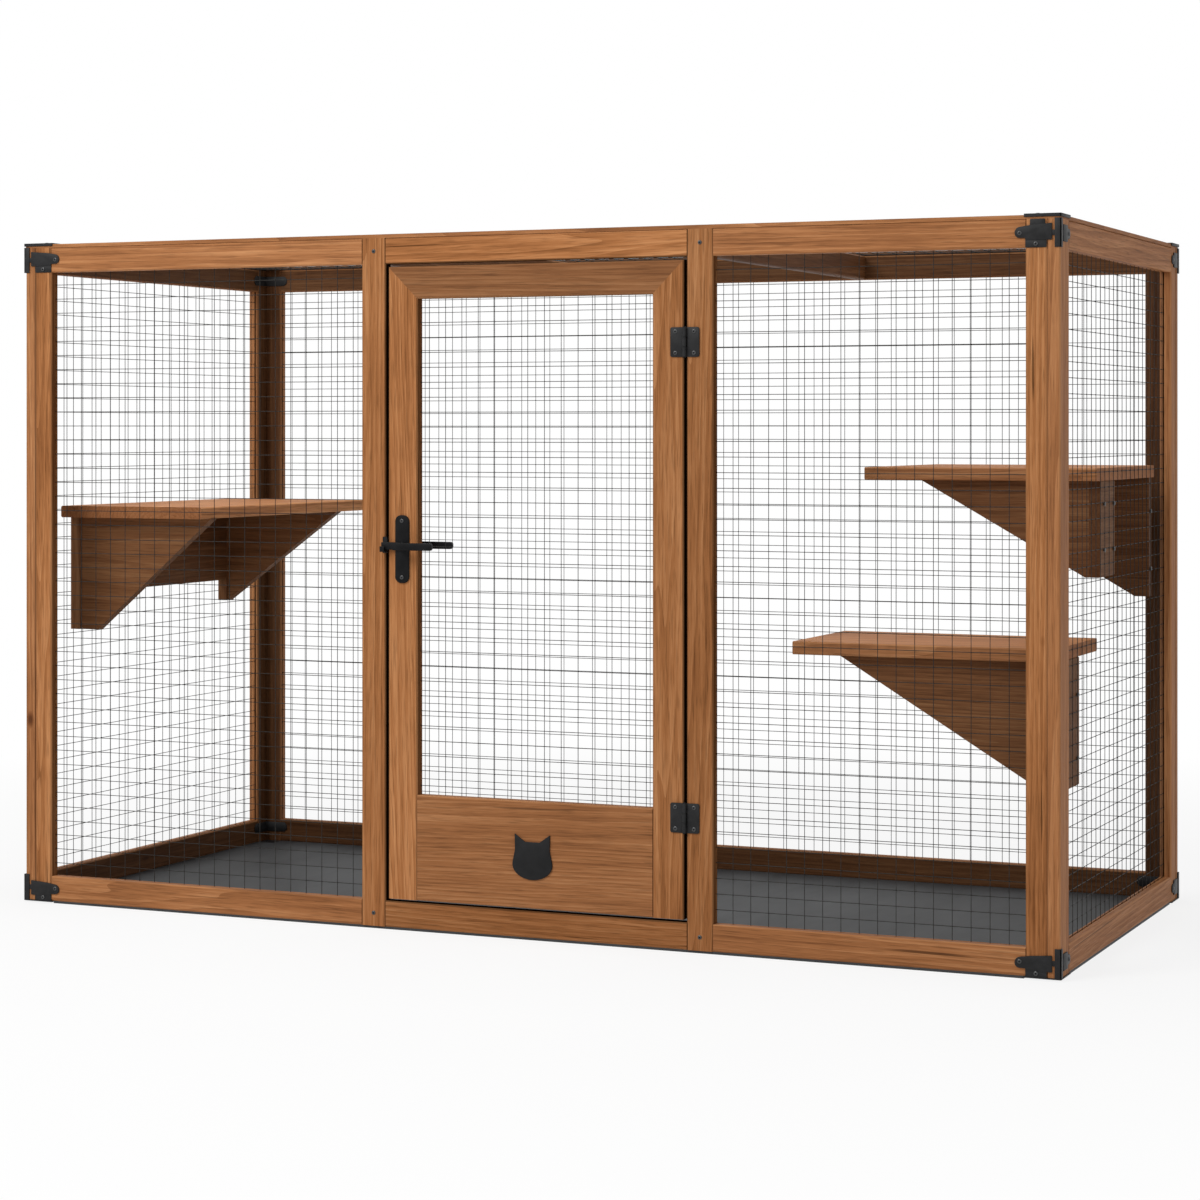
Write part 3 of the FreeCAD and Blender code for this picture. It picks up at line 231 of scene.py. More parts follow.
class Finish:
    """A material whose nodes are added one after another round its principled shader."""

    def __init__(self, name, roughness=0.5, metallic=0.0, specular=0.5):
        self.material = bpy.data.materials.new(name)
        self.material.use_nodes = True
        self.tree = self.material.node_tree
        self.surface = self.tree.nodes["Principled BSDF"]
        self.surface.inputs["Roughness"].default_value = roughness
        self.surface.inputs["Metallic"].default_value = metallic
        self.surface.inputs["Specular IOR Level"].default_value = specular

    def add(self, kind, feeds, **settings):
        node = self.tree.nodes.new("ShaderNode" + kind)
        for name, value in settings.items():
            setattr(node, name, value)
        for socket, value in feeds.items():
            self.feed(node, socket, value)
        return node

    def feed(self, node, socket, value):
        if isinstance(value, bpy.types.NodeSocket):
            self.tree.links.new(value, node.inputs[socket])
        else:
            node.inputs[socket].default_value = value

    def place(self):
        return self.add("TexCoord", {}).outputs["Object"]

    def facing(self, direction):
        """How far the surface is turned to a direction of its own object, from -1 to 1."""
        normal = self.add("TexCoord", {}).outputs["Normal"]
        return self.add("VectorMath", {0: normal, 1: direction}, operation="DOT_PRODUCT").outputs["Value"]

    def flatness(self):
        """1 on faces square to an axis of the object, and less on the slopes along their edges."""
        normal = self.add("VectorMath", {0: self.add("TexCoord", {}).outputs["Normal"]}, operation="ABSOLUTE")
        sides = self.add("SeparateXYZ", {"Vector": normal.outputs[0]}).outputs
        return self.maths("MAXIMUM", self.maths("MAXIMUM", sides[0], sides[1]), sides[2])

    def stretched(self, vector, stretch):
        return self.add("VectorMath", {0: vector, 1: stretch}, operation="MULTIPLY").outputs[0]

    def noise(self, vector, scale, detail=2.0, roughness=0.5):
        feeds = {"Vector": vector, "Scale": scale, "Detail": detail, "Roughness": roughness}
        return self.add("TexNoise", feeds).outputs["Fac"]

    def maths(self, operation, first, second=0.0):
        return self.add("Math", {0: first, 1: second}, operation=operation).outputs[0]

    def spread(self, value, low, high, to_low, to_high):
        feeds = {"Value": value, "From Min": low, "From Max": high, "To Min": to_low, "To Max": to_high}
        return self.add("MapRange", feeds).outputs["Result"]

    def ramp(self, factor, *stops):
        node = self.add("ValToRGB", {"Fac": factor})
        elements = node.color_ramp.elements
        while len(elements) < len(stops):
            elements.new(1.0)
        for element, (place, shade) in zip(elements, stops):
            element.position = place
            element.color = (*shade, 1.0) if not isinstance(shade, float) else (shade, shade, shade, 1.0)
        return node.outputs["Color"]

    def mixed(self, factor, first, second, blend="MIX"):
        node = self.add("Mix", {0: factor, 6: first, 7: second}, data_type="RGBA", blend_type=blend)
        return node.outputs[2]

    def colour(self, shade):
        self.feed(self.surface, "Base Color", shade)

    def rough(self, value, to_low, to_high):
        """Roughness that goes from one number to another with a value between 0 and 1."""
        self.feed(self.surface, "Roughness", self.spread(value, 0.0, 1.0, to_low, to_high))

    def bump(self, height, strength, distance):
        feeds = {"Height": height, "Strength": strength, "Distance": distance}
        self.feed(self.surface, "Normal", self.add("Bump", feeds).outputs["Normal"])


def lie_of_grain(finish, along, centre, chance):
    """Coordinates of a member with X along its grain, its pith line beside it and a little askew."""
    lean = Euler((0, math.radians(chance.uniform(-1.2, 1.2)), math.radians(chance.uniform(-1.2, 1.2))))
    turn = lean.to_matrix() @ Euler(GRAIN_TURNS[along]).to_matrix()
    pith = Vector((chance.uniform(-9, 9), chance.choice((-1, 1)) * chance.uniform(0.03, 0.07),
                   chance.choice((-1, 1)) * chance.uniform(0.02, 0.06)))
    feeds = {"Vector": finish.place(), "Rotation": turn.to_euler(), "Location": pith - turn @ centre}
    return finish.add("Mapping", feeds).outputs[0]


def growth_rings(finish, member):
    """Wavering growth rings round the pith line."""
    drawn = finish.stretched(member, (0.09, 1, 1))
    waver = finish.add("TexNoise", {"Vector": drawn, "Scale": 16.0, "Detail": 2.0}).outputs["Color"]
    waver = finish.add("VectorMath", {0: waver, 1: (0.5, 0.5, 0.5)}, operation="SUBTRACT").outputs[0]
    waver = finish.add("VectorMath", {0: waver, "Scale": 0.03}, operation="SCALE").outputs[0]
    bent = finish.add("VectorMath", {0: drawn, 1: waver}, operation="ADD").outputs[0]
    # A wave texture draws a ring every 2 pi / 20 units at a scale of 1.
    ring_scale = 2 * math.pi / (20 * bpy.context.scene.cage_timber.ring_spacing)
    feeds = {"Vector": bent, "Scale": ring_scale, "Distortion": 1.2, "Detail": 2.0, "Detail Scale": 0.6}
    wave = finish.add("TexWave", feeds, wave_type="RINGS", rings_direction="X", wave_profile="SAW")
    return wave.outputs["Fac"]


def knot_shade(finish, member):
    """Small dark knots, each with a paler rim."""
    stretched = finish.stretched(member, (0.5, 1, 1))
    knots = finish.add("TexVoronoi", {"Vector": stretched, "Scale": 6.5}, feature="F1").outputs["Distance"]
    return finish.ramp(knots, (0.018, (0.25, 0.18, 0.13)), (0.034, (0.55, 0.47, 0.41)), (0.055, (1, 1, 1)))


def worn_edges(finish, shade, patches, light):
    """Let paler wood show in places along the eased edges."""
    slope = finish.spread(finish.flatness(), 0.74, 0.92, 1.0, 0.0)
    share = finish.maths("MULTIPLY", slope, finish.spread(patches, 0.4, 0.62, 0.15, 0.75))
    return finish.mixed(share, shade, (*light, 1.0))


def timber_finish(name, along, centre, stains, chance, tone, specular, painted_shade):
    """Stained softwood with growth rings, fibres, dark streaks, drying cracks, pores and small knots, and painted
    shade on the faces turned given ways.
    """
    light, middle, dark = [tuple(Vector(stain) * tone) for stain in stains]
    deep = tuple((Vector(middle) * 2 + Vector(dark)) / 3)
    finish = Finish(name, specular=specular)
    member = lie_of_grain(finish, along, centre, chance)
    rings = growth_rings(finish, member)
    marks = {}
    for kind, (stretch, scale, detail, roughness) in STRANDS.items():
        marks[kind] = finish.noise(finish.stretched(member, (stretch, 1, 1)), scale, detail, roughness)
    grain = finish.maths("MULTIPLY", rings, RING_SHARE)
    for kind, share in GRAIN_SHARES.items():
        grain = finish.maths("ADD", grain, finish.maths("MULTIPLY", marks[kind], share))
    shade = finish.ramp(grain, (0.33, dark), (0.49, deep), (0.585, middle), (0.76, light))
    pore_shade = finish.ramp(marks["pores"], (0.32, 0.55), (0.47, 1.0))
    shade = finish.mixed(0.6, shade, pore_shade, "MULTIPLY")
    crack_shade = finish.ramp(marks["cracks"], (0.235, 0.25), (0.265, 1.0))
    shade = finish.mixed(0.75, shade, crack_shade, "MULTIPLY")
    shade = finish.mixed(0.9, shade, knot_shade(finish, member), "MULTIPLY")
    if "gusset" not in name:
        shade = worn_edges(finish, shade, marks["patches"], light)
    end_share = finish.maths("POWER", finish.maths("ABSOLUTE", finish.facing(AXES[along])), 8.0)
    shade = finish.mixed(finish.maths("MULTIPLY", end_share, 0.6), shade, (*dark, 1.0))
    # Painted shade: faces turned to each given direction are darkened to its tone.
    for direction, painted_shade_tone in painted_shade:
        painted_dimming = finish.spread(finish.facing(direction), 0.4, 0.9, 1.0, painted_shade_tone)
        shade = finish.mixed(1.0, shade, painted_dimming, "MULTIPLY")
    finish.colour(shade)
    finish.rough(marks["fibres"], 0.66, 0.5)
    relief = finish.maths("ADD", marks["fibres"], finish.maths("MULTIPLY", rings, 0.4))
    finish.bump(relief, strength=0.3, distance=0.5 * MM)
    return finish.material


def zinc_finish(name, dim):
    """Hot dipped zinc with dull and bright flakes; dim darkens it at the welds."""
    look = bpy.context.scene.cage_wire
    finish = Finish(name, metallic=0.25, specular=0.05)
    flakes = finish.noise(finish.place(), scale=420.0, detail=3.0, roughness=0.7)
    dull = tuple(Vector(look.zinc_dark) * dim)
    bright = tuple(Vector(look.zinc_light) * dim)
    finish.colour(finish.ramp(flakes, (0.35, dull), (0.65, bright)))
    finish.rough(flakes, 0.38, 0.6)
    finish.bump(flakes, strength=0.15, distance=0.1 * MM)
    return finish.material


def paint_finish(name, shade, roughness, specular=0.2):
    """Satin black paint with a fine orange peel and a little dust."""
    finish = Finish(name, specular=specular)
    place = finish.place()
    peel = finish.noise(place, scale=1500.0)
    dust = finish.noise(place, scale=60.0, detail=3.0, roughness=0.6)
    dark = tuple(Vector(shade) * 0.75)
    pale = tuple(Vector(shade) * 1.5)
    finish.colour(finish.ramp(dust, (0.35, dark), (0.7, pale)))
    finish.rough(dust, roughness - 0.08, roughness + 0.1)
    finish.bump(peel, strength=0.22, distance=0.15 * MM)
    return finish.material


def steel_finish(name, shade):
    """Bright steel with fine drawn lines."""
    finish = Finish(name, roughness=0.3, metallic=1.0)
    lines = finish.noise(finish.stretched(finish.place(), (1, 1, 0.1)), scale=1800.0)
    finish.colour(finish.ramp(lines, (0.3, tuple(Vector(shade) * 0.8)), (0.7, tuple(shade))))
    finish.bump(lines, strength=0.1, distance=0.05 * MM)
    return finish.material


def floor_sheet_finish(name, shade):
    """A dark sheet with a pebbled face and faint scuffs."""
    finish = Finish(name, roughness=0.62, specular=0.25)
    place = finish.place()
    cells = finish.add("TexVoronoi", {"Vector": place, "Scale": 260.0}, feature="SMOOTH_F1")
    scuffs = finish.noise(finish.stretched(place, (1, 0.35, 1)), scale=14.0, detail=4.0, roughness=0.6)
    dark = tuple(Vector(shade) * 0.8)
    pale = tuple(Vector(shade) * 1.3)
    finish.colour(finish.ramp(scuffs, (0.35, dark), (0.7, pale)))
    finish.bump(cells.outputs["Distance"], strength=0.25, distance=0.4 * MM)
    return finish.material


def nodes_of(slot):
    """Names of the CAD nodes that take a slot of the record."""
    return [row["node"] for row in frame["record"]["subparts"] if row["material_slot"] == slot]


def dress(node, material):
    frame["nodes"][node].data.materials.clear()
    frame["nodes"][node].data.materials.append(material)


def grain_of(node):
    if node in GRAIN_ALONG:
        return GRAIN_ALONG[node]
    low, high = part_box(node)
    sides = high - low
    return "xyz"[max(range(3), key=lambda axis: sides[axis])]


def painted_shade_of(node):
    """The directions in which painted shade darkens a member's faces, each with how bright they are."""
    look = bpy.context.scene.cage_timber
    panel = node.split("_")[0]
    painted_shade = []
    # The shelf boards' front edges are held darker than their tops, which are lifted with painted top light.
    if node in EDGE_TONES:
        painted_shade.append((INWARD["back"], EDGE_TONES[node] / TONES[node]))
    if node == "roof_beams":
        painted_shade += [(side, BEAM_SHADE_TONE) for side in BEAM_SIDES]
    if node in GAP_SIDES:
        painted_shade.append((GAP_SIDES[node], look.gap_shade_tone))
    if node in REVEALS:
        painted_shade.append((REVEALS[node], look.reveal_shade_tone))
    elif panel in INWARD and "shelf" not in node:
        painted_shade.append((INWARD[panel], look.inner_shade_tone))
    return painted_shade


def tone_of(node):
    if node in TONES:
        return TONES[node]
    # Shelf gussets, cleats and uprights are darkened with painted shade.
    return BRACKET_SHADE_TONE if "shelf" in node else 1.0


def member_stain(node, name, along, stains, specular):
    """The stain of one member, with a tone that can hold painted light, painted shade and a lie of grain of its
    own.
    """
    chance = random.Random(name)
    tone = tone_of(node) * chance.uniform(*CHANCE_TONES)
    low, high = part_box(node)
    # Members round the door lose their gloss, and a painted sheen lifts their colour in its place.
    if node in GAP_SIDES or node in REVEALS:
        specular = 0.0
        tone *= MATT_LIFT
    return timber_finish(name + "_stain", along, (low + high) / 2, stains, chance, tone, specular,
                         painted_shade_of(node))


def dress_timber(slot, stains, specular):
    for node in sorted(nodes_of(slot)):
        dress(node, member_stain(node, node, grain_of(node), stains, specular))


def merged_copy(node):
    copy = bmesh.new()
    copy.from_mesh(frame["nodes"][node].data)
    bmesh.ops.remove_doubles(copy, verts=copy.verts, dist=1e-6)
    return copy


def solids_of(node):
    """Lowest and highest corner of each separate solid of a CAD node, and the mean of its corners."""
    copy = merged_copy(node)
    boxes = []
    waiting = set(copy.verts)
    while waiting:
        front = [waiting.pop()]
        found = list(front)
        while front:
            near = {edge.other_vert(vert) for vert in front for edge in vert.link_edges} & waiting
            waiting -= near
            found += near
            front = list(near)
        lows = [min(vert.co[axis] for vert in found) for axis in range(3)]
        highs = [max(vert.co[axis] for vert in found) for axis in range(3)]
        mean = sum((vert.co for vert in found), Vector()) / len(found)
        boxes.append((Vector(lows), Vector(highs), mean))
    copy.free()
    return sorted(boxes, key=lambda box: tuple(box[0]))


def finished(shape, name, body, materials, replaced, smooth=40):
    """Close a bmesh into a named piece that rides on a body and stands for CAD nodes.

    Edges that turn by more degrees than smooth stay sharp in its shading.
    """
    bmesh.ops.recalc_face_normals(shape, faces=shape.faces)
    mesh = bpy.data.meshes.new(name)
    shape.to_mesh(mesh)
    shape.free()
    for material in materials:
        mesh.materials.append(material)
    mesh.shade_smooth()
    mesh.set_sharp_from_angle(angle=math.radians(smooth))
    piece = bpy.data.objects.new(name, mesh)
    bpy.context.scene.collection.objects.link(piece)
    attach(piece, body)
    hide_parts(*replaced)


def make_roof_laths(long_stain, short_stain):
    """The laths round the roof, with grain that runs along the short ones too."""
    laths = merged_copy("roof_laths")
    short_reach = max(high.y for low, high, _ in solids_of("roof_laths") if high.y - low.y > high.x - low.x)
    for face in laths.faces:
        face.material_index = int(abs(face.calc_center_median().y) <= short_reach)
    finished(laths, "roof_lath_strips", "frame", (long_stain, short_stain),
             ("roof_laths",))


def all_of(shape):
    return shape.verts[:] + shape.edges[:] + shape.faces[:]


def join(shape, part, material=0):
    """Move a bmesh into another one, with one material number for its faces."""
    for face in part.faces:
        face.material_index = material
    mesh = bpy.data.meshes.new("joined")
    part.to_mesh(mesh)
    part.free()
    shape.from_mesh(mesh)
    bpy.data.meshes.remove(mesh)


def joined(*parts):
    whole = bmesh.new()
    for part in parts:
        join(whole, part)
    return whole


def bevelled(shape, edges, width, segments):
    bmesh.ops.bevel(shape, geom=edges, offset=width, offset_type="OFFSET", segments=segments, profile=0.5,
                    affect="EDGES", material=-1, clamp_overlap=True)


def softened(shape, width, segments=2):
    """Round the sharp edges of a closed shape."""
    edges = [edge for edge in shape.edges if edge.is_manifold and edge.calc_face_angle() > SHARP_ANGLE]
    bevelled(shape, edges, width, segments)
    return shape


def spot(along, across, up, at):
    """A place from its section coordinates and its place along the section's axis."""
    place = Vector()
    for axis, value in zip(SECTIONS[along], (across, up, at)):
        place[axis] = value
    return place


def slab(along, corners, near, far, rounds=(), edge=0.0, segments=2):
    """A plate cut to an outline, from near to far along an axis; rounds pairs corner numbers with radii."""
    shape = bmesh.new()
    outline = [shape.verts.new(spot(along, across, up, near)) for across, up in corners]
    face = shape.faces.new(outline)
    grown = bmesh.ops.extrude_face_region(shape, geom=[face])["geom"]
    far_side = [item for item in grown if isinstance(item, bmesh.types.BMVert)]
    bmesh.ops.translate(shape, verts=far_side, vec=spot(along, 0, 0, far - near))
    axis = AXES[along]
    for number, radius in rounds:
        corner = outline[number]
        through = [line for line in corner.link_edges
                   if abs((line.other_vert(corner).co - corner.co).dot(axis)) > 1e-6]
        bevelled(shape, through, radius, CORNER_STEPS)
    if edge:
        softened(shape, edge, segments)
    return shape


def box_outline(low, high):
    return [(low[0], low[1]), (high[0], low[1]), (high[0], high[1]), (low[0], high[1])]


def turned(along, centre, profile, steps=24, closed=False):
    """A profile of radii and places along an axis, spun about that axis through a centre."""
    shape = bmesh.new()
    outward = AXES["y" if along == "x" else "x"]
    verts = [shape.verts.new(centre + outward * radius + AXES[along] * at) for radius, at in profile]
    pairs = list(zip(verts, verts[1:]))
    if closed:
        pairs.append((verts[-1], verts[0]))
    edges = [shape.edges.new(pair) for pair in pairs]
    bmesh.ops.spin(shape, geom=verts + edges, cent=centre, axis=AXES[along], angle=2 * math.pi, steps=steps,
                   use_merge=True)
    bmesh.ops.remove_doubles(shape, verts=shape.verts, dist=1e-7)
    return shape


def repeat(shape, geometry, step, count):
    """Repeat geometry in a straight row."""
    if count > 1:
        bmesh.ops.spin(shape, geom=geometry, cent=(0, 0, 0), axis=(0, 0, 1), dvec=step, angle=0,
                       steps=count - 1, use_duplicate=True)


def wire_rows(node):
    """The thin axis of a net and its two rows of wires: run, first middle, length, step and count."""
    low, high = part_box(node)
    flat = min(range(3), key=lambda axis: high[axis] - low[axis])
    rows = {}
    for box_low, box_high, _ in solids_of(node):
        sides = box_high - box_low
        run = max(range(3), key=lambda axis: sides[axis])
        rows.setdefault(run, []).append(((box_low + box_high) / 2, sides[run]))
    laid = []
    for run, wires in rows.items():
        spread = 3 - flat - run
        wires.sort(key=lambda wire: wire[0][spread])
        step = (wires[-1][0] - wires[0][0]) / (len(wires) - 1)
        laid.append((run, wires[0][0], wires[0][1], step, len(wires)))
    return flat, laid


def make_net(node, body):
    """Round wires in two layers, with a weld where each pair crosses."""
    look = bpy.context.scene.cage_wire
    flat, rows = wire_rows(node)
    shape = bmesh.new()
    for run, first, wire_length, step, count in rows:
        turn = AXES["z"].rotation_difference(AXES["xyz"[run]]).to_matrix().to_4x4()
        row = bmesh.new()
        bmesh.ops.create_cone(row, cap_ends=True, segments=look.wire_sides, radius1=look.wire_radius,
                              radius2=look.wire_radius, depth=wire_length,
                              matrix=Matrix.Translation(first) @ turn)
        repeat(row, all_of(row), step, count)
        join(shape, row)
    (_, first, _, step, count), (_, other, _, other_step, other_count) = rows
    middle = (first + other) / 2
    for axis in range(3):
        if axis != flat:
            middle[axis] = first[axis] if abs(step[axis]) > abs(other_step[axis]) else other[axis]
    welds = bmesh.new()
    bmesh.ops.create_icosphere(welds, subdivisions=1, radius=look.weld_radius,
                               matrix=Matrix.Translation(middle))
    repeat(welds, all_of(welds), step, count)
    repeat(welds, all_of(welds), other_step, other_count)
    join(shape, welds, 1)
    materials = (bpy.data.materials["zinc_wire"], bpy.data.materials["zinc_weld"])
    finished(shape, node.replace("_mesh", "_wires"), body, materials, (node,),
             smooth=80)


def in_mm(points):
    return [(across * MM, up * MM) for across, up in points]


def moved(points, across, up):
    return [(across + point[0], up + point[1]) for point in points]


def bracket_face(along, base, low, outlines, look):
    """One face of a corner bracket, made of flat plates."""
    plates = []
    for points, thick, rounds in outlines:
        corners = moved(in_mm(points), base, low)
        seat = FRONT if along == "y" else LEFT
        sized_rounds = [(number, radius * MM) for number, radius in rounds]
        plates.append(slab(along, corners, seat - thick * MM, seat, sized_rounds, look.edge))
    return plates


def corner_bracket(look, low, cap_low, tabbed):
    """A bracket round the left front corner: strip, front and side plates, and the plate over the end.

    Each plate is an outline, a thickness and the radii of some corners, in millimetres from the corner.
    """
    upper = cap_low > low
    strip = (box_outline((-2, 0), (8, 43)), 2.0, ())
    bridge = (box_outline((7, 17.5), (13, 25.5)), 1.4, ())
    arm_points = [(12, 11), (52, 11), (52, 14.5), (68, 14.5), (68, 29.5), (45, 33), (12, 35.5)]
    arm = (arm_points if upper else moved(arm_points, 0, -2.5), 2.3, ((3, 7.2), (4, 7.2)))
    lower_tab = (box_outline((20, 0), (52, 12)), 1.5, ((0, 1.5), (1, 1.5)))
    front_plates = [strip, bridge, arm, lower_tab]
    if tabbed:
        front_plates.append((box_outline((22, 30), (45, 42)), 2.0, ((2, 2), (3, 2))))
    lobe_points = [(12, 9), (38, 9), (38, 14), (52, 14), (52, 29), (38, 29), (38, 34), (12, 34)]
    lobe = (lobe_points, 2.0, ((3, 7), (4, 7), (1, 3), (6, 3)))
    parts = bracket_face("y", LEFT, low, front_plates, look)
    parts += bracket_face("x", FRONT, low, [strip, bridge, lobe], look)
    # The lower plate is square, so that it fills the notch in the floor sheet.
    reach, rounds = (54, ((2, 9 * MM),)) if upper else (54.6, ())
    cap = moved(in_mm(box_outline((-2, -2), (reach, reach))), LEFT, FRONT)
    parts.append(slab("z", cap, cap_low, cap_low + look.steel, rounds, look.edge))
    if upper:
        fold = (box_outline((-2, 45), (54, 49)), 2.0, ())
        parts += bracket_face("y", LEFT, low, [fold], look) + bracket_face("x", FRONT, low, [fold], look)
    return joined(*parts)


def make_corner_brackets(look, paint):
    """Brackets round the eight corners; two upper ones across from each other have a second tab."""
    whole = bmesh.new()
    drop = 48 * MM
    upper = (TOP - drop, TOP, True)
    lower = (LOW, LOW - look.steel, False)
    for low, cap_low, tabbed in (upper, lower):
        for side in (1, -1):
            for end in (1, -1):
                part = corner_bracket(look, low, cap_low, tabbed and side != end)
                bmesh.ops.transform(part, matrix=Matrix.Diagonal((side, end, 1, 1)), verts=part.verts)
                join(whole, part)
    finished(whole, "corner_bracket_plates", "frame", (paint,), ("corner_brackets",))


def plain_copy(node):
    """A merged copy of a node with its flat faces made whole."""
    copy = merged_copy(node)
    bmesh.ops.dissolve_limit(copy, angle_limit=math.radians(1), verts=copy.verts, edges=copy.edges)
    return copy


def hinge_leaf(look, side, knuckles):
    """Leaves and knuckles on one side of both hinges; side is 1 on the post and -1 on the door."""
    axis_x, axis_y, _ = HINGE["pos_m"]
    bore, outside, rim, play = 1.6 * MM, 3.5 * MM, 0.4 * MM, 0.15 * MM
    web_reach, web_steel = 6 * MM, 1.8 * MM
    leaf_start, leaf_end, leaf_round = 4 * MM, 24 * MM, 3 * MM
    parts = []
    for low, high, _ in solids_of("hinge_post_leaves"):
        for share_low, share_high in knuckles:
            start = low.z + (high.z - low.z) * share_low + play
            end = low.z + (high.z - low.z) * share_high - play
            tube = [(bore, start), (outside - rim, start), (outside, start + rim), (outside, end - rim),
                    (outside - rim, end), (bore, end)]
            parts.append(turned("z", Vector((axis_x, axis_y, 0)), tube, closed=True))
            web = box_outline((axis_x, start), (axis_x + web_reach * side, end))
            parts.append(slab("y", web, FRONT - web_steel, FRONT))
        leaf = box_outline((axis_x + leaf_start * side, low.z), (axis_x + leaf_end * side, high.z))
        rounds = ((1, leaf_round), (2, leaf_round))
        parts.append(slab("y", leaf, FRONT - look.steel, FRONT, rounds, look.edge))
    return joined(*parts)


def hinge_pin(low, high):
    """A pin from end to end of a hinge, with a low head on both ends."""
    head, shank, flat = 2.4 * MM, 1.5 * MM, 0.7
    slope, thick = 0.5 * MM, 0.9 * MM
    profile = [(0, low), (head * flat, low), (head, low + slope), (head, low + thick),
               (shank, low + thick), (shank, high - thick), (head, high - thick),
               (head, high - slope), (head * flat, high), (0, high)]
    return turned("z", Vector((*HINGE["pos_m"][:2], 0)), profile)


def make_hinges(look, paint):
    """Two knuckles of each hinge are the post's, and the middle one is the door's."""
    post_knuckles = ((0, 1 / 3), (2 / 3, 1))
    door_knuckles = ((1 / 3, 2 / 3),)
    finished(hinge_leaf(look, 1, post_knuckles), "hinge_post_plates", "frame", (paint,),
             ("hinge_post_leaves",))
    finished(hinge_leaf(look, -1, door_knuckles), "hinge_door_plates", "door", (paint,),
             ("hinge_door_leaves",))
    pins = [hinge_pin(low.z, high.z) for low, high, _ in solids_of("hinge_pins")]
    finished(joined(*pins), "hinge_pin_rods", "frame", (paint,), ("hinge_pins",))


def latch_plate(low, high):
    """A long rounded plate with a pillowed face towards the hand."""
    corners = box_outline((low.x, low.z), (high.x, high.z))
    end_round, pillow = 10 * MM, 1.1 * MM
    rounds = [(number, end_round) for number in range(4)]
    return slab("y", corners, low.y, high.y, rounds, pillow, segments=3)


def lever_grip(low, high, near, far):
    """The bar of a lever, a little slimmer towards its rounded end."""
    x, _, z = LEVER["pos_m"]
    half = (high.z - low.z) / 2
    slim = half * 0.96
    corners = [(x - half, z - half), (high.x, z - slim), (high.x, z + slim), (x - half, z + half)]
    hub_round, tip_round, soft = half * 0.9, slim * 0.7, 1.0 * MM
    rounds = [(0, hub_round), (3, hub_round), (1, tip_round), (2, tip_round)]
    return slab("y", corners, near, far, rounds, soft, segments=3)


def lever_neck(start, end):
    """The round neck between a plate and its lever, with a collar at the plate."""
    x, _, z = LEVER["pos_m"]
    step = 1 if end > start else -1
    collar, neck = 6.6 * MM, 5.5 * MM
    collar_end, neck_start = start + 1.6 * MM * step, start + 2.4 * MM * step
    profile = [(0, start), (collar, start), (collar, collar_end), (neck, neck_start), (neck, end), (0, end)]
    return turned("y", Vector((x, 0, z)), profile)


def outer_lever(low, high, bar):
    """The lever in front of the door, with the tail that reaches into the keeper."""
    tail = box_outline((low.x, low.z), (LEVER["pos_m"][0], high.z))
    tail_front, tail_back = high.y - 5.2 * MM, high.y - 0.2 * MM
    tail_round, soft = 2 * MM, 0.7 * MM
    parts = [lever_grip(low, high, low.y, low.y + bar), lever_neck(high.y, low.y + bar * NECK_DEPTH)]
    parts.append(slab("y", tail, tail_front, tail_back, ((0, tail_round), (3, tail_round)), soft))
    return joined(*parts)


def inner_lever(low, high, bar):
    return joined(lever_grip(low, high, high.y - bar, high.y), lever_neck(low.y, high.y - bar * NECK_DEPTH))


def return_spring():
    """A coil of round wire about the spindle, inside the bore of the stile."""
    low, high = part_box("latch_spring")
    x, _, z = LEVER["pos_m"]
    wire, coil, clear = 0.9 * MM, 6.2 * MM, 1.5 * MM
    turns, steps = 6, 18
    centre = Vector((x, low.y + clear, z))
    shape = bmesh.new()
    start = Matrix.Translation(centre + Vector((coil, 0, 0)))
    bmesh.ops.create_circle(shape, segments=8, radius=wire, matrix=start)
    rise = (high.y - low.y - 2 * clear) / (turns * steps)
    bmesh.ops.spin(shape, geom=all_of(shape), cent=centre, axis=AXES["y"], dvec=(0, rise, 0),
                   angle=2 * math.pi * turns, steps=turns * steps)
    bmesh.ops.holes_fill(shape, edges=[edge for edge in shape.edges if edge.is_boundary], sides=0)
    return shape


def make_latch(paint, steel):
    plates = [latch_plate(low, high) for low, high, _ in solids_of("latch_plates")]
    finished(joined(*plates), "latch_face_plates", "door", (paint,), ("latch_plates",))
    bar, keeper_edge = 8 * MM, 0.5 * MM
    outer = outer_lever(*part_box("latch_outer_lever"), bar)
    finished(outer, "latch_outer_grip", "latch_lever", (paint,), ("latch_outer_lever",))
    inner = inner_lever(*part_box("latch_inner_lever"), bar)
    finished(inner, "latch_inner_grip", "latch_lever", (paint,), ("latch_inner_lever",))
    keeper = softened(plain_copy("latch_keeper"), keeper_edge)
    finished(keeper, "latch_keeper_hook", "frame", (paint,), ("latch_keeper",))
    finished(return_spring(), "latch_spring_coil", "door", (steel,), ("latch_spring",))
    dress("latch_spindle", steel)


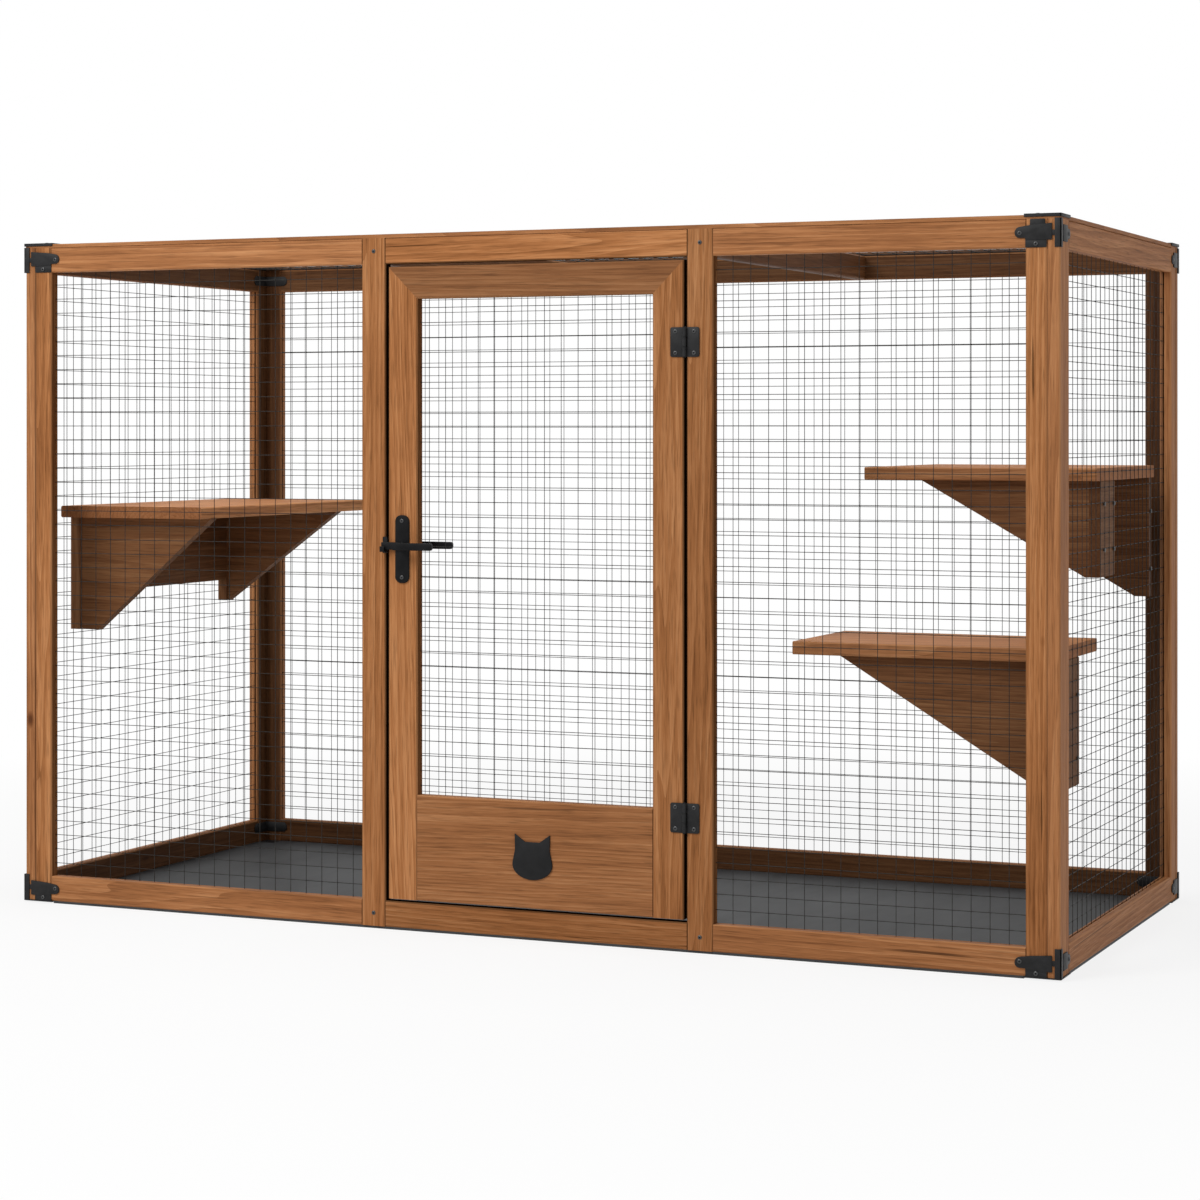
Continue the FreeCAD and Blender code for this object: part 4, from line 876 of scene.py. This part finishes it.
def screw_shape(look, shank):
    """A screw on the origin with its head up Z: a domed head with a cross recess, and a tapered shank."""
    dome = look.head_dome
    tip, root = 0.5 * MM, 1.7 * MM
    profile = [(3.4 * MM, 0), (3.25 * MM, 0.55 * dome), (2.5 * MM, 0.92 * dome), (2.1 * MM, dome)]
    shape = turned("z", Vector(), profile, steps=12)
    rim = [edge for edge in shape.edges if edge.is_boundary and edge.verts[0].co.z > dome * 0.99]
    arm, half = 1.55 * MM, 0.42 * MM
    quarter = [(arm, -half), (arm, half), (half, half)]
    corners = []
    for turn in range(4):
        spin = Matrix.Rotation(turn * math.pi / 2, 2)
        corners += [shape.verts.new((*(spin @ Vector(corner)), dome)) for corner in quarter]
    cross = shape.faces.new(corners)
    bmesh.ops.bridge_loops(shape, edges=rim + list(cross.edges))
    sunk = bmesh.ops.extrude_face_region(shape, geom=[cross])["geom"]
    bottom = [item for item in sunk if isinstance(item, bmesh.types.BMVert)]
    bmesh.ops.translate(shape, verts=bottom, vec=(0, 0, -0.7 * dome))
    bmesh.ops.holes_fill(shape, edges=[edge for edge in shape.edges if edge.is_boundary], sides=0)
    bmesh.ops.create_cone(shape, cap_ends=True, segments=8, radius1=tip, radius2=root, depth=shank,
                          matrix=Matrix.Translation((0, 0, -shank / 2)))
    return shape


def make_screws(look, node, name, body, material):
    """A screw for each solid of a node; the heavier end of the solid is its head."""
    whole = bmesh.new()
    for low, high, mean in solids_of(node):
        sides = high - low
        run = max(range(3), key=lambda axis: sides[axis])
        middle = (low + high) / 2
        outward = AXES["xyz"[run]] * (1 if mean[run] > middle[run] else -1)
        shank = sides[run] - look.head_dome
        seat = middle + outward * (sides[run] / 2 - look.head_dome)
        part = screw_shape(look, shank)
        turn = AXES["z"].rotation_difference(outward).to_matrix().to_4x4()
        bmesh.ops.transform(part, matrix=Matrix.Translation(seat) @ turn, verts=part.verts)
        join(whole, part)
    finished(whole, name, body, (material,), (node,))


def seen_directly(tree):
    """1 for camera, glossy and transmission rays, which see a white backdrop."""
    path = tree.nodes.new("ShaderNodeLightPath")
    share = path.outputs["Is Camera Ray"]
    for ray in ("Is Glossy Ray", "Is Transmission Ray"):
        most = tree.nodes.new("ShaderNodeMath")
        most.operation = "MAXIMUM"
        tree.links.new(share, most.inputs[0])
        tree.links.new(path.outputs[ray], most.inputs[1])
        share = most.outputs[0]
    return share


def lay_floor(look):
    """A wide pale floor that turns to plain white away from the cage."""
    shape = bmesh.new()
    bmesh.ops.create_circle(shape, cap_ends=True, segments=96, radius=FLOOR_RADIUS)
    mesh = bpy.data.meshes.new("studio_floor")
    shape.to_mesh(mesh)
    shape.free()
    floor = bpy.data.objects.new("studio_floor", mesh)
    bpy.context.scene.collection.objects.link(floor)
    finish = Finish("studio_floor", roughness=0.9, specular=0.1)
    finish.colour((*look.floor_colour, 1))
    away = finish.add("VectorMath", {0: finish.place()}, operation="LENGTH").outputs["Value"]
    fade = finish.spread(away, *FLOOR_FADE, NEAR_WHITE, 1.0)
    share = finish.maths("MULTIPLY", fade, seen_directly(finish.tree))
    white = finish.add("Emission", {"Color": (1, 1, 1, 1), "Strength": 1.0}).outputs[0]
    mixed = finish.add("MixShader", {0: share, 1: finish.surface.outputs[0], 2: white}).outputs[0]
    finish.feed(finish.tree.nodes["Material Output"], "Surface", mixed)
    mesh.materials.append(finish.material)


def light_sky(scene, look):
    """Even light from all round, before a white backdrop."""
    world = bpy.data.worlds.new("studio_sky")
    world.use_nodes = True
    scene.world = world
    tree = world.node_tree
    sky = tree.nodes["Background"]
    sky.inputs["Color"].default_value = (1, 1, 1, 1)
    sky.inputs["Strength"].default_value = look.sky_light
    backdrop = tree.nodes.new("ShaderNodeBackground")
    backdrop.inputs["Color"].default_value = (1, 1, 1, 1)
    mix = tree.nodes.new("ShaderNodeMixShader")
    tree.links.new(seen_directly(tree), mix.inputs[0])
    tree.links.new(sky.outputs[0], mix.inputs[1])
    tree.links.new(backdrop.outputs[0], mix.inputs[2])
    tree.links.new(mix.outputs[0], tree.nodes["World Output"].inputs["Surface"])


def hang_lamp(name, place, size, power):
    lamp = bpy.data.lights.new(name, "AREA")
    lamp.shape = "DISK"
    lamp.size = size
    lamp.energy = power
    holder = bpy.data.objects.new(name, lamp)
    holder.location = place
    aim = LAMP_AIM - Vector(place)
    holder.rotation_euler = aim.to_track_quat("-Z", "Y").to_euler()
    bpy.context.scene.collection.objects.link(holder)


def stand_camera(scene, look):
    camera = bpy.data.cameras.new("studio_camera")
    camera.sensor_width = SENSOR_WIDTH
    camera.lens = look.lens
    camera.shift_y = look.rise
    holder = bpy.data.objects.new("studio_camera", camera)
    holder.location = look.camera_place
    holder.rotation_euler = (math.pi / 2, 0, look.camera_turn)
    scene.collection.objects.link(holder)
    scene.camera = holder


class CAGE_OT_timber(bpy.types.Operator):
    """Stain the frame, door and roof timber"""
    bl_idname = "cage.timber"
    bl_label = "Stain the timber"

    def execute(self, context):
        look = context.scene.cage_timber
        stains = (look.stain_light, look.stain_middle, look.stain_dark)
        dress_timber("stained_timber", stains, FRAME_GLOSS)
        short_stain = member_stain("roof_laths", "short_roof_laths", "y", stains, FRAME_GLOSS)
        make_roof_laths(bpy.data.materials["roof_laths_stain"], short_stain)
        return {"FINISHED"}


class CAGE_OT_shelves(bpy.types.Operator):
    """Stain the shelves with their gussets, cleats and uprights"""
    bl_idname = "cage.shelves"
    bl_label = "Stain the shelves"

    def execute(self, context):
        look = context.scene.cage_timber
        stains = (look.shelf_light, look.shelf_middle, look.shelf_dark)
        dress_timber("shelf_timber", stains, SHELF_GLOSS)
        return {"FINISHED"}


class CAGE_OT_nets(bpy.types.Operator):
    """Weld the round wires of the mesh panels"""
    bl_idname = "cage.nets"
    bl_label = "Weld the mesh panels"

    def execute(self, context):
        zinc_finish("zinc_wire", dim=1.0)
        zinc_finish("zinc_weld", dim=0.7)
        for node in nodes_of("galvanised_wire"):
            make_net(node, "door" if node == "door_mesh" else "frame")
        return {"FINISHED"}


class CAGE_OT_floor_sheet(bpy.types.Operator):
    """Finish the dark sheet under the rails"""
    bl_idname = "cage.floor_sheet"
    bl_label = "Finish the floor sheet"

    def execute(self, context):
        look = context.scene.cage_fittings
        dress("floor_sheet", floor_sheet_finish("pebbled_sheet", look.floor_grey))
        return {"FINISHED"}


class CAGE_OT_brackets(bpy.types.Operator):
    """Cut and fold the brackets of the corners"""
    bl_idname = "cage.brackets"
    bl_label = "Make the corner brackets"

    def execute(self, context):
        look = context.scene.cage_fittings
        paint = paint_finish("bracket_black", look.black_paint, roughness=0.5)
        make_corner_brackets(look, paint)
        inner = softened(plain_copy("inner_brackets"), look.edge)
        finished(inner, "inner_bracket_plates", "frame", (paint,), ("inner_brackets",))
        return {"FINISHED"}


class CAGE_OT_hinges(bpy.types.Operator):
    """Roll the hinges of the door"""
    bl_idname = "cage.hinges"
    bl_label = "Make the hinges"

    def execute(self, context):
        make_hinges(context.scene.cage_fittings, bpy.data.materials["bracket_black"])
        return {"FINISHED"}


class CAGE_OT_latch(bpy.types.Operator):
    """Shape the lever latch, its keeper and its spring"""
    bl_idname = "cage.latch"
    bl_label = "Make the latch"

    def execute(self, context):
        look = context.scene.cage_fittings
        paint = paint_finish("latch_black", look.latch_black, roughness=0.42, specular=0.1)
        make_latch(paint, steel_finish("bright_steel", look.bright_steel))
        return {"FINISHED"}


class CAGE_OT_plaque(bpy.types.Operator):
    """Soften the cat's head on the kick panel"""
    bl_idname = "cage.plaque"
    bl_label = "Make the plaque"

    def execute(self, context):
        look = context.scene.cage_fittings
        plastic = paint_finish("plaque_black", look.latch_black, roughness=0.55)
        plaque = softened(plain_copy("cat_plaque"), look.plaque_edge)
        finished(plaque, "cat_plaque_face", "door", (plastic,), ("cat_plaque",))
        return {"FINISHED"}


class CAGE_OT_screws(bpy.types.Operator):
    """Turn the screws of the frame and the door"""
    bl_idname = "cage.screws"
    bl_label = "Make the screws"

    def execute(self, context):
        look = context.scene.cage_fittings
        head = paint_finish("black_screw_head", look.black_head, roughness=0.32, specular=0.6)
        make_screws(look, "frame_screws", "frame_screw_heads", "frame", head)
        make_screws(look, "door_screws", "door_screw_heads", "door", head)
        return {"FINISHED"}


class CAGE_OT_stage(bpy.types.Operator):
    """Set the floor, the light and the camera"""
    bl_idname = "cage.stage"
    bl_label = "Set the stage"

    def execute(self, context):
        look = context.scene.cage_stage
        context.scene.view_settings.view_transform = "Standard"
        lay_floor(look)
        light_sky(context.scene, look)
        for name, (place, size, power) in LAMPS.items():
            hang_lamp(name, place, size, getattr(look, power))
        stand_camera(context.scene, look)
        return {"FINISHED"}


class CAGE_PT_parts(bpy.types.Panel):
    """Lists the groups of pieces of the cage"""
    bl_label = "Cat Cage"
    bl_idname = "CAGE_PT_parts"
    bl_space_type = "VIEW_3D"
    bl_region_type = "UI"
    bl_category = "Cat Cage"

    def draw(self, context):
        for operator in OPERATORS:
            self.layout.operator(operator.bl_idname)


LOOKS = {
    "cage_timber": CageTimberLook,
    "cage_wire": CageWireLook,
    "cage_fittings": CageFittingLook,
    "cage_stage": CageStageLook,
}
OPERATORS = (CAGE_OT_timber, CAGE_OT_shelves, CAGE_OT_nets, CAGE_OT_floor_sheet, CAGE_OT_brackets,
             CAGE_OT_hinges, CAGE_OT_latch, CAGE_OT_plaque, CAGE_OT_screws, CAGE_OT_stage)
CLASSES = (*LOOKS.values(), *OPERATORS, CAGE_PT_parts)


def register():
    for item in CLASSES:
        bpy.utils.register_class(item)
    for name, look in LOOKS.items():
        setattr(bpy.types.Scene, name, PointerProperty(type=look))


def unregister():
    for name in LOOKS:
        delattr(bpy.types.Scene, name)
    for item in reversed(CLASSES):
        bpy.utils.unregister_class(item)


def main():
    register()
    for operator in OPERATORS:
        group, name = operator.bl_idname.split(".")
        getattr(getattr(bpy.ops, group), name)()


if __name__ == "__main__":
    main()
